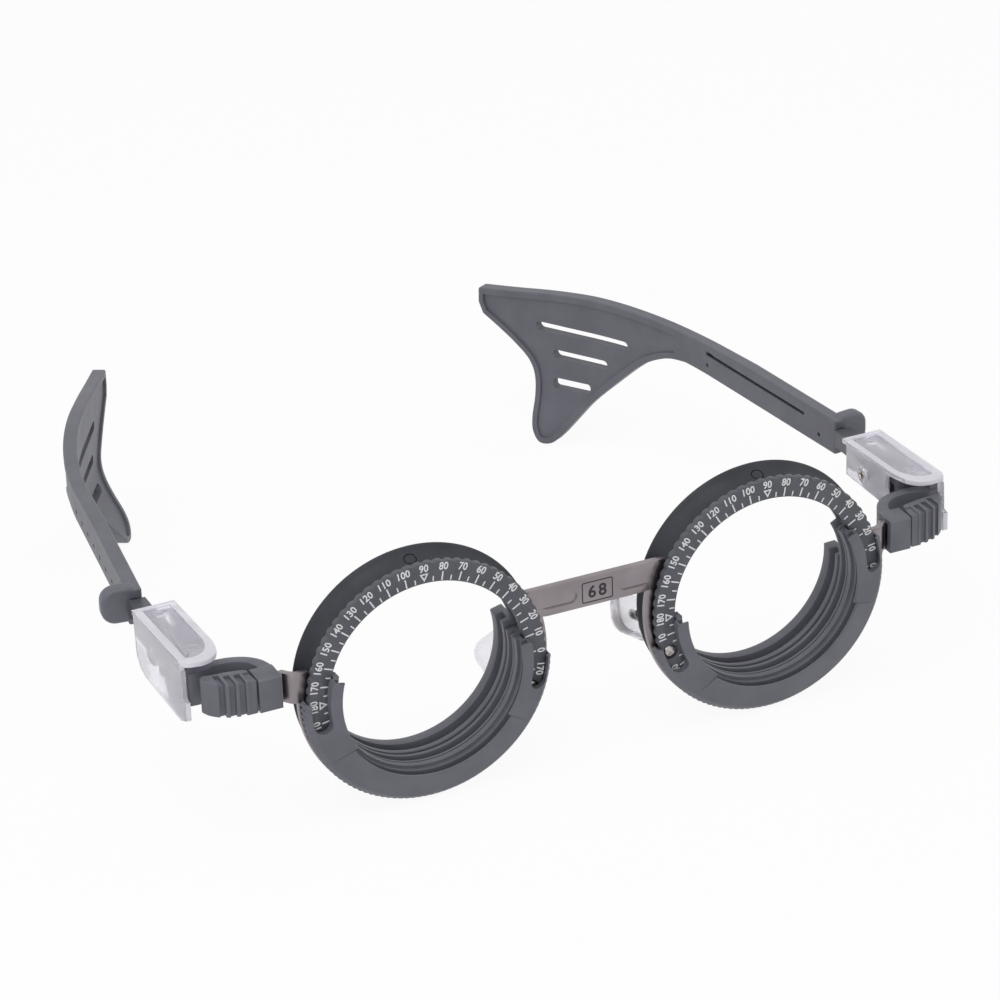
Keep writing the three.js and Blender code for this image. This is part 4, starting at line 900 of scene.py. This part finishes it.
cover_size = (COVER_OUT - COVER_IN, COVER_BACK - COVER_FRONT)
lid_points = spread(
    [(0, 1), (0, 0.268), (0.085, 0.119), (0.293, 0.027), (0.585, 0), (0.89, 0.027), (1, 0.088), (1, 1)],
    (COVER_IN, COVER_FRONT), cover_size,
)
lid_plan = [lid_points[0]] + flowing(lid_points[1:5], 6)[:-1] + flowing(lid_points[4:7], 5) + [lid_points[7]]
cover = pressed("left_clear_cover", lid_plan, "z", 5.0, 11.0)
cut(cover, lid_slice("lid", COVER_IN - 1, COVER_OUT + 1, 7.5, 35.6, -COVER_SKIN, 0), "INTERSECT")
window_points = [(69.9, 33.4), (69.9, 17.0), (70.3, 14.6), (71.5, 12.3), (73.2, 11.2), (75.0, 11.2), (75.2, 11.5), (75.2, 33.4)]
window_plan = [window_points[0]] + flowing(window_points[1:6], 5) + window_points[6:]
window = pressed("window", window_plan, "z", 5.0, 11.0)
cut(window, lid_slice("sink", COVER_IN - 1, COVER_OUT + 1, 7.5, 35.6, -0.35, 1), "INTERSECT")
cut(cover, window)
for mark_y in (15.6, 30.6):
    dimple = pressed("moulding_mark", disc(72.6, mark_y, 1.2), "z", lid_height(mark_y) - 0.45, 11.0)
    cut(dimple, pressed("middle", disc(72.6, mark_y, 0.9), "z", 5.0, 12.0))
    cut(cover, dimple)
wall_top = 8.1 - COVER_SKIN / 2
wall_side = spread(
    [(0.977, 1), (0.96, 0.24), (0.9, 0.08), (0.815, 0), (0.126, 0.01), (0, 0.14), (0, 0.47), (0.05, 0.5), (0.057, 1)],
    (COVER_FRONT, -3.1), (cover_size[1], wall_top + 3.1),
)
cut(cover, pressed("outer_wall", wall_side, "x", COVER_OUT - COVER_SKIN, COVER_OUT), "UNION")
cut(cover, lid_slice("outer_top", COVER_OUT - COVER_SKIN, COVER_OUT, 10.3, 33.7, -2.0, -0.45), "UNION")
inner_side = [(17.8, 1.2), (33.0, 1.2), (33.0, lid_height(33.0) - 0.45), (17.8, lid_height(17.8) - 0.45)]
cut(cover, pressed("inner_wall", inner_side, "x", COVER_IN, COVER_IN + COVER_SKIN), "UNION")
cut(cover, pressed("screw_ring", disc(*TILT, 1.6), "x", COVER_IN - 0.5, COVER_IN + 0.2), "UNION")
cut(cover, pressed("screw_hole", disc(*TILT, 1.2), "x", COVER_IN - 1, COVER_IN + 2))
rounded(cover, 0.16, 2, 45)
for piece, side in ((across(cover, "right_clear_cover"), "right"), (cover, "left")):
    dress(piece, clear_plastic, f"{side}_hinge", "clear_plastic", f"{side}_hinge_cover")
    piece.data.materials.append(painted_rim_highlight)
    middle = place(0, 0, 0)
    # The upward faces of the lid's rim and the small edge faces take the painted rim highlight
    for face in piece.data.polygons:
        spot = (face.center - middle) * 1000
        on_rim = face.normal.z > 0.9 and spot.z > lid_height(spot.y) - 0.12
        on_edge = face.area < 4e-6 and abs(face.normal.x) < 0.95 and abs(face.normal.z) < 0.9
        if on_rim or on_edge:
            face.material_index = 1

# Hinge blocks
# The grey block inside each cover: two lugs on the fold pin and a crosspiece
# that the cover's walls are fixed to. Dark nylon.

hinge = pressed("left_lug_block", [(69.77, 20.2), (75.57, 20.2), (75.57, 22.6), (69.77, 22.6)], "z", 0.9, 7.4)
lug_outline = [(PIN[0] + a, PIN[1] + b) for a, b in arc(2.6, 180, 360, 20)] + [(PIN[0] + 2.6, 22.3), (PIN[0] - 2.6, 22.3)]
for low, high in ((0.92, 2.6), (5.6, 7.38)):
    cut(hinge, pressed("lug", lug_outline, "z", low, high), "UNION")
cut(hinge, pressed("bore", disc(*PIN, 1.0), "z", 0, 9))
rounded(hinge, 0.15, 2, 50)
for piece, side in ((across(hinge, "right_lug_block"), "right"), (hinge, "left")):
    dress(piece, dial_nylon, f"{side}_hinge", "dial_plastic", f"{side}_hinge_block")

# Tilt screws
# A cross-head screw through each cover's inner wall and the slider's head, which
# the temple tilts on. Nickel-plated steel.

tilt_screw = pressed("left_tilt_cross_head", disc(*TILT, 1.1, 40), "x", 68.1, 68.6)
cut(tilt_screw, pressed("shank", disc(*TILT, 0.8, 32), "x", 68.4, 75.57), "UNION")
rounded(tilt_screw, 0.12, 2, 50)
for half_y, half_z in ((0.85, 0.2), (0.2, 0.85)):
    cross = [(TILT[0] + a * half_y, TILT[1] + b * half_z) for a, b in ((-1, -1), (1, -1), (1, 1), (-1, 1))]
    cut(tilt_screw, pressed("cross", cross, "x", 67.0, 68.5))
for piece, side in ((across(tilt_screw, "right_tilt_cross_head"), "right"), (tilt_screw, "left")):
    dress(piece, nickel, f"{side}_hinge", "pin_steel", f"{side}_tilt_screw")

# Sliders
# A round head on each tilt screw, a neck out of the cover and a flat bar that
# runs in the temple, so that the temple's length can be set. Dark nylon.

ARM_START = (74.2, 45.5)
ARM_STRAIGHT, ARM_ARC = 41.0, 38.0
ARM_ANGLE, ARM_END_ANGLE = math.radians(7), math.radians(28.5)
ARM_THICKNESS, ARM_HEIGHT = 2.8, 7.2
FIN_DROP, CURL_FROM, CURL = 27.3, 11.0, 6.0


def arm_path(station):
    """The temple's outer face in plan: straight, then an arc, then straight again."""
    straight = min(station, ARM_STRAIGHT)
    curved = min(max(station - ARM_STRAIGHT, 0), ARM_ARC)
    rest = max(station - ARM_STRAIGHT - ARM_ARC, 0)
    turn = (ARM_END_ANGLE - ARM_ANGLE) * curved / ARM_ARC
    chord = curved * math.sin(turn / 2) / (turn / 2) if turn > 0 else 0
    middle, heading = ARM_ANGLE + turn / 2, ARM_ANGLE + turn
    inward = straight * math.sin(ARM_ANGLE) + chord * math.sin(middle) + rest * math.sin(heading)
    back = straight * math.cos(ARM_ANGLE) + chord * math.cos(middle) + rest * math.cos(heading)
    return ARM_START[0] - inward, ARM_START[1] + back, heading


def curved(piece):
    """Lays a piece drawn flat, as (station, outward, height), along the temple's path."""
    for vertex in piece.data.vertices:
        station, outward, height = vertex.co * 1000 - place(0, 0, 0) * 1000
        drop = min(max((-height - CURL_FROM) / (FIN_DROP - CURL_FROM), 0), 1)
        outward -= CURL * drop * drop * (3 - 2 * drop)
        inward, back, heading = arm_path(station)
        vertex.co = place(inward + outward * math.cos(heading), back + outward * math.sin(heading), height)
    only(piece)
    bpy.ops.object.mode_set(mode="EDIT")
    bpy.ops.mesh.select_all(action="SELECT")
    bpy.ops.mesh.normals_make_consistent(inside=False)
    bpy.ops.object.mode_set(mode="OBJECT")
    return piece


bar = curved(pressed("bar", [(-4, 1.95), (41, 1.95), (41, 5.05), (-4, 5.05)], "y", -1.9, -0.9))
slider = pressed("left_sliding_bar", disc(*TILT, 3.1), "x", 69.77, 75.57)
neck = [(71.34, 26.2), (74.74, 26.2), (74.74, 42.7), (71.34, 42.7)]
cut(slider, pressed("neck", neck, "z", 2.2, 5.6), "UNION")
cut(slider, bar, "UNION")
cut(slider, pressed("bore", disc(*TILT, 1.1), "x", 69, 77))
rounded(slider, 0.14, 2, 50)
for piece, side in ((across(slider, "right_sliding_bar"), "right"), (slider, "left")):
    dress(piece, dial_nylon, f"{side}_slider", "dial_plastic", f"{side}_slider_bar")

# Temples
# A long arm that ends in a broad curved fin behind the ear, with three slots to
# lighten it, a sunk panel, a thumb tab at the front and a slot that shows the bar.

lower_edge = spread(
    [
        (0.459, 0), (0.511, -0.04), (0.564, -0.136), (0.605, -0.253), (0.663, -0.462), (0.706, -0.634),
        (0.734, -0.788), (0.755, -0.901), (0.776, -0.979), (0.803, -0.997), (0.82, -0.923), (0.828, -0.824),
        (0.834, -0.678), (0.847, -0.531), (0.868, -0.418), (0.9, -0.319), (0.936, -0.231), (0.973, -0.15),
    ],
    (0, 0), (109, FIN_DROP),
)
tip = spread([(0.983, -0.06), (0.982, 0.06)], (0, 0), (109, FIN_DROP))
upper_edge = spread(
    [(0.899, 0.42), (0.817, 0.625), (0.734, 0.778), (0.661, 0.833), (0.55, 0.861), (0.44, 0.889), (0.349, 0.944), (0.257, 1)],
    (0, 0), (109, ARM_HEIGHT),
)
arm_outline = [(-2, 0)] + flowing(lower_edge, 5) + tip[:1] + flowing(tip[1:] + upper_edge, 5) + [(-2, ARM_HEIGHT)]


def drawn_in(outline, border):
    """An outline moved inwards by a border's width."""
    moved = []
    for i, (x, y) in enumerate(outline):
        (x0, y0), (x1, y1) = outline[i - 1], outline[(i + 1) % len(outline)]
        length = math.hypot(x1 - x0, y1 - y0)
        moved.append((x - border * (y1 - y0) / length, y + border * (x1 - x0) / length))
    return moved


arm = pressed("left_fin_temple", arm_outline, "y", -ARM_THICKNESS, 0)
rounded(arm, 0.4, 3, 50)
tab = pressed("tab", round_box(1.05, 4.15, 7.7, 7.1, 2.7), "z", -0.8, 2.0)
rounded(tab, 0.7, 3)
tab.data.transform(
    Matrix.Translation(place(0, 0, 0))
    @ Matrix(((0, 0, -1, 0), (1, 0, 0, 0), (0, 1, 0, 0), (0, 0, 0, 1)))
    @ Matrix.Translation(-place(0, 0, 0))
)
cut(arm, tab, "UNION")
panel = drawn_in(arm_outline, 1.4)
for low, high in ((-0.5, 1), (-ARM_THICKNESS - 1, -ARM_THICKNESS + 0.5)):
    recess = pressed("recess", panel, "y", low, high)
    cut(recess, pressed("reach", [(53.5, -30), (112, -30), (112, 10), (53.5, 10)], "y", low - 1, high + 1), "INTERSECT")
    cut(arm, recess)
for shares in (((0.632, -0.088), (0.837, -0.126)), ((0.685, -0.306), (0.798, -0.328)), ((0.723, -0.54), (0.794, -0.555))):
    start, end = spread(shares, (0, 0), (109, FIN_DROP))
    cut(arm, pressed("slot", capsule(start, end, 0.95), "y", -4, 1))
cut(arm, pressed("channel", [(-3, 1.6), (43, 1.6), (43, 5.4), (-3, 5.4)], "y", -2.2, -0.6))
cut(arm, pressed("ruler_slot", capsule((8.65, 4.8), (42.15, 4.8), 0.35), "y", -4, -1.4))
cut(arm, pressed("slot_end", [(37.0, 4.5), (42.4, 4.4), (42.4, 5.35), (40.5, 5.3), (39.5, 5.15), (37.0, 5.2)], "y", -4, -1.4))
for station in (3.4, 42.1):
    cut(arm, pressed("pin_hole", disc(station, 2.3, 0.45, 24), "y", -4, -1.4))
for i in range(7):
    cut(arm, pressed("click_hole", disc(11.5 + 5 * i, 2.3, 0.5, 24), "y", -1.4, 1))
rounded(arm, 0.07, 2, 58)
only(arm)
bpy.ops.object.mode_set(mode="EDIT")
for station in [41 + 2 * i for i in range(20)] + [82 + 3 * i for i in range(9)]:
    bpy.ops.mesh.select_all(action="SELECT")
    bpy.ops.mesh.bisect(plane_co=place(station, 0, 0), plane_no=(1, 0, 0))
for height in [-CURL_FROM - 1.6 * i for i in range(11)]:
    bpy.ops.mesh.select_all(action="SELECT")
    bpy.ops.mesh.bisect(plane_co=place(0, 0, height), plane_no=(0, 0, 1))
bpy.ops.object.mode_set(mode="OBJECT")
curved(arm)
bpy.ops.object.shade_smooth_by_angle(angle=math.radians(12))
for piece, side in ((across(arm, "right_fin_temple"), "right"), (arm, "left")):
    dress(piece, carrier_nylon, f"{side}_temple", "grey_plastic", f"{side}_temple_arm")

# Floor, lights and camera
# A white floor that touches both rims and both fins, a soft box above the front
# and a white room round it; the camera stands where the photograph's did.

bpy.ops.mesh.primitive_plane_add(size=6)
floor = bpy.context.object
floor.name = "studio_floor"
floor_tilt = math.atan((27.34 - PLATE_OUTER) / 123.4)
low_rim = place(0, 2.6, -PLATE_OUTER - 0.05)
floor.data.transform(Matrix.Translation(low_rim) @ Matrix.Rotation(-floor_tilt, 4, "X"))
floor_white = new_material("white_studio_sweep")
path = add_node(floor_white, "ShaderNodeLightPath")
seen = add_node(
    floor_white,
    "ShaderNodeMath",
    {"operation": "MAXIMUM"},
    {0: path.outputs["Is Camera Ray"], 1: path.outputs["Is Glossy Ray"]},
)
seen_too = add_node(
    floor_white, "ShaderNodeMath", {"operation": "MAXIMUM"}, {0: seen.outputs[0], 1: path.outputs["Is Transmission Ray"]}
)
share = add_node(floor_white, "ShaderNodeMath", {"operation": "MULTIPLY", 1: 0.93}, {0: seen_too.outputs[0]})
paper = add_node(floor_white, "ShaderNodeBsdfDiffuse", {"Color": paint("#fbfbfb")})
glow = add_node(floor_white, "ShaderNodeEmission", {"Strength": 1.0})
lit = add_node(
    floor_white, "ShaderNodeMixShader", {}, {0: share.outputs[0], 1: paper.outputs[0], 2: glow.outputs[0]}
)
add_node(floor_white, "ShaderNodeOutputMaterial", {}, {"Surface": lit.outputs[0]})
floor.data.materials.append(floor_white)
floor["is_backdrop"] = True

world = bpy.data.worlds.new("white_room")
bpy.context.scene.world = world
world.use_nodes = True
world.node_tree.nodes["Background"].inputs["Color"].default_value = (1, 1, 1, 1)
room = world.node_tree.nodes["Background"]
room_path = world.node_tree.nodes.new("ShaderNodeLightPath")
room_glint = world.node_tree.nodes.new("ShaderNodeMath")
room_glint.operation = "MAXIMUM"
room_level = world.node_tree.nodes.new("ShaderNodeMapRange")
room_level.inputs["To Min"].default_value = 0.42
world.node_tree.links.new(room_path.outputs["Is Glossy Ray"], room_glint.inputs[0])
world.node_tree.links.new(room_path.outputs["Is Transmission Ray"], room_glint.inputs[1])
world.node_tree.links.new(room_glint.outputs[0], room_level.inputs["Value"])
world.node_tree.links.new(room_level.outputs["Result"], room.inputs["Strength"])

for name, where_to, size, power in (
    ("overhead_softbox", (-0.25, -0.15, 0.75), 0.7, 3.0),
    ("front_softbox", (-0.6, -0.8, 0.35), 0.5, 1.8),
    ("side_softbox", (0.8, -0.1, 0.4), 0.5, 0.9),
):
    lamp = bpy.data.lights.new(name, "AREA")
    lamp.size = size
    lamp.energy = power
    holder = bpy.data.objects.new(name, lamp)
    bpy.context.collection.objects.link(holder)
    holder.location = where_to
    holder.rotation_mode = "QUATERNION"
    holder.rotation_quaternion = (Vector((0, 0.03, -0.01)) - Vector(where_to)).to_track_quat("-Z", "Y")

camera = bpy.data.objects.new("photo_camera", bpy.data.cameras.new("photo_camera"))
bpy.context.collection.objects.link(camera)
camera.data.sensor_width = 36
camera.data.lens = 151.77
camera.data.clip_start, camera.data.clip_end = 0.05, 20
rightward = Vector((0.9077, -0.4184, -0.0324)).normalized()
forward = Vector((0.3588, 0.8138, -0.4571))
forward = (forward - rightward * forward.dot(rightward)).normalized()
upward = rightward.cross(forward)
stand = place(-284.0, -601.2, 369.6)
camera.matrix_world = Matrix.Translation(stand) @ Matrix((rightward, upward, -forward)).transposed().to_4x4()
bpy.context.scene.camera = camera
bpy.context.scene.view_settings.view_transform = "Standard"

low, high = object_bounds()
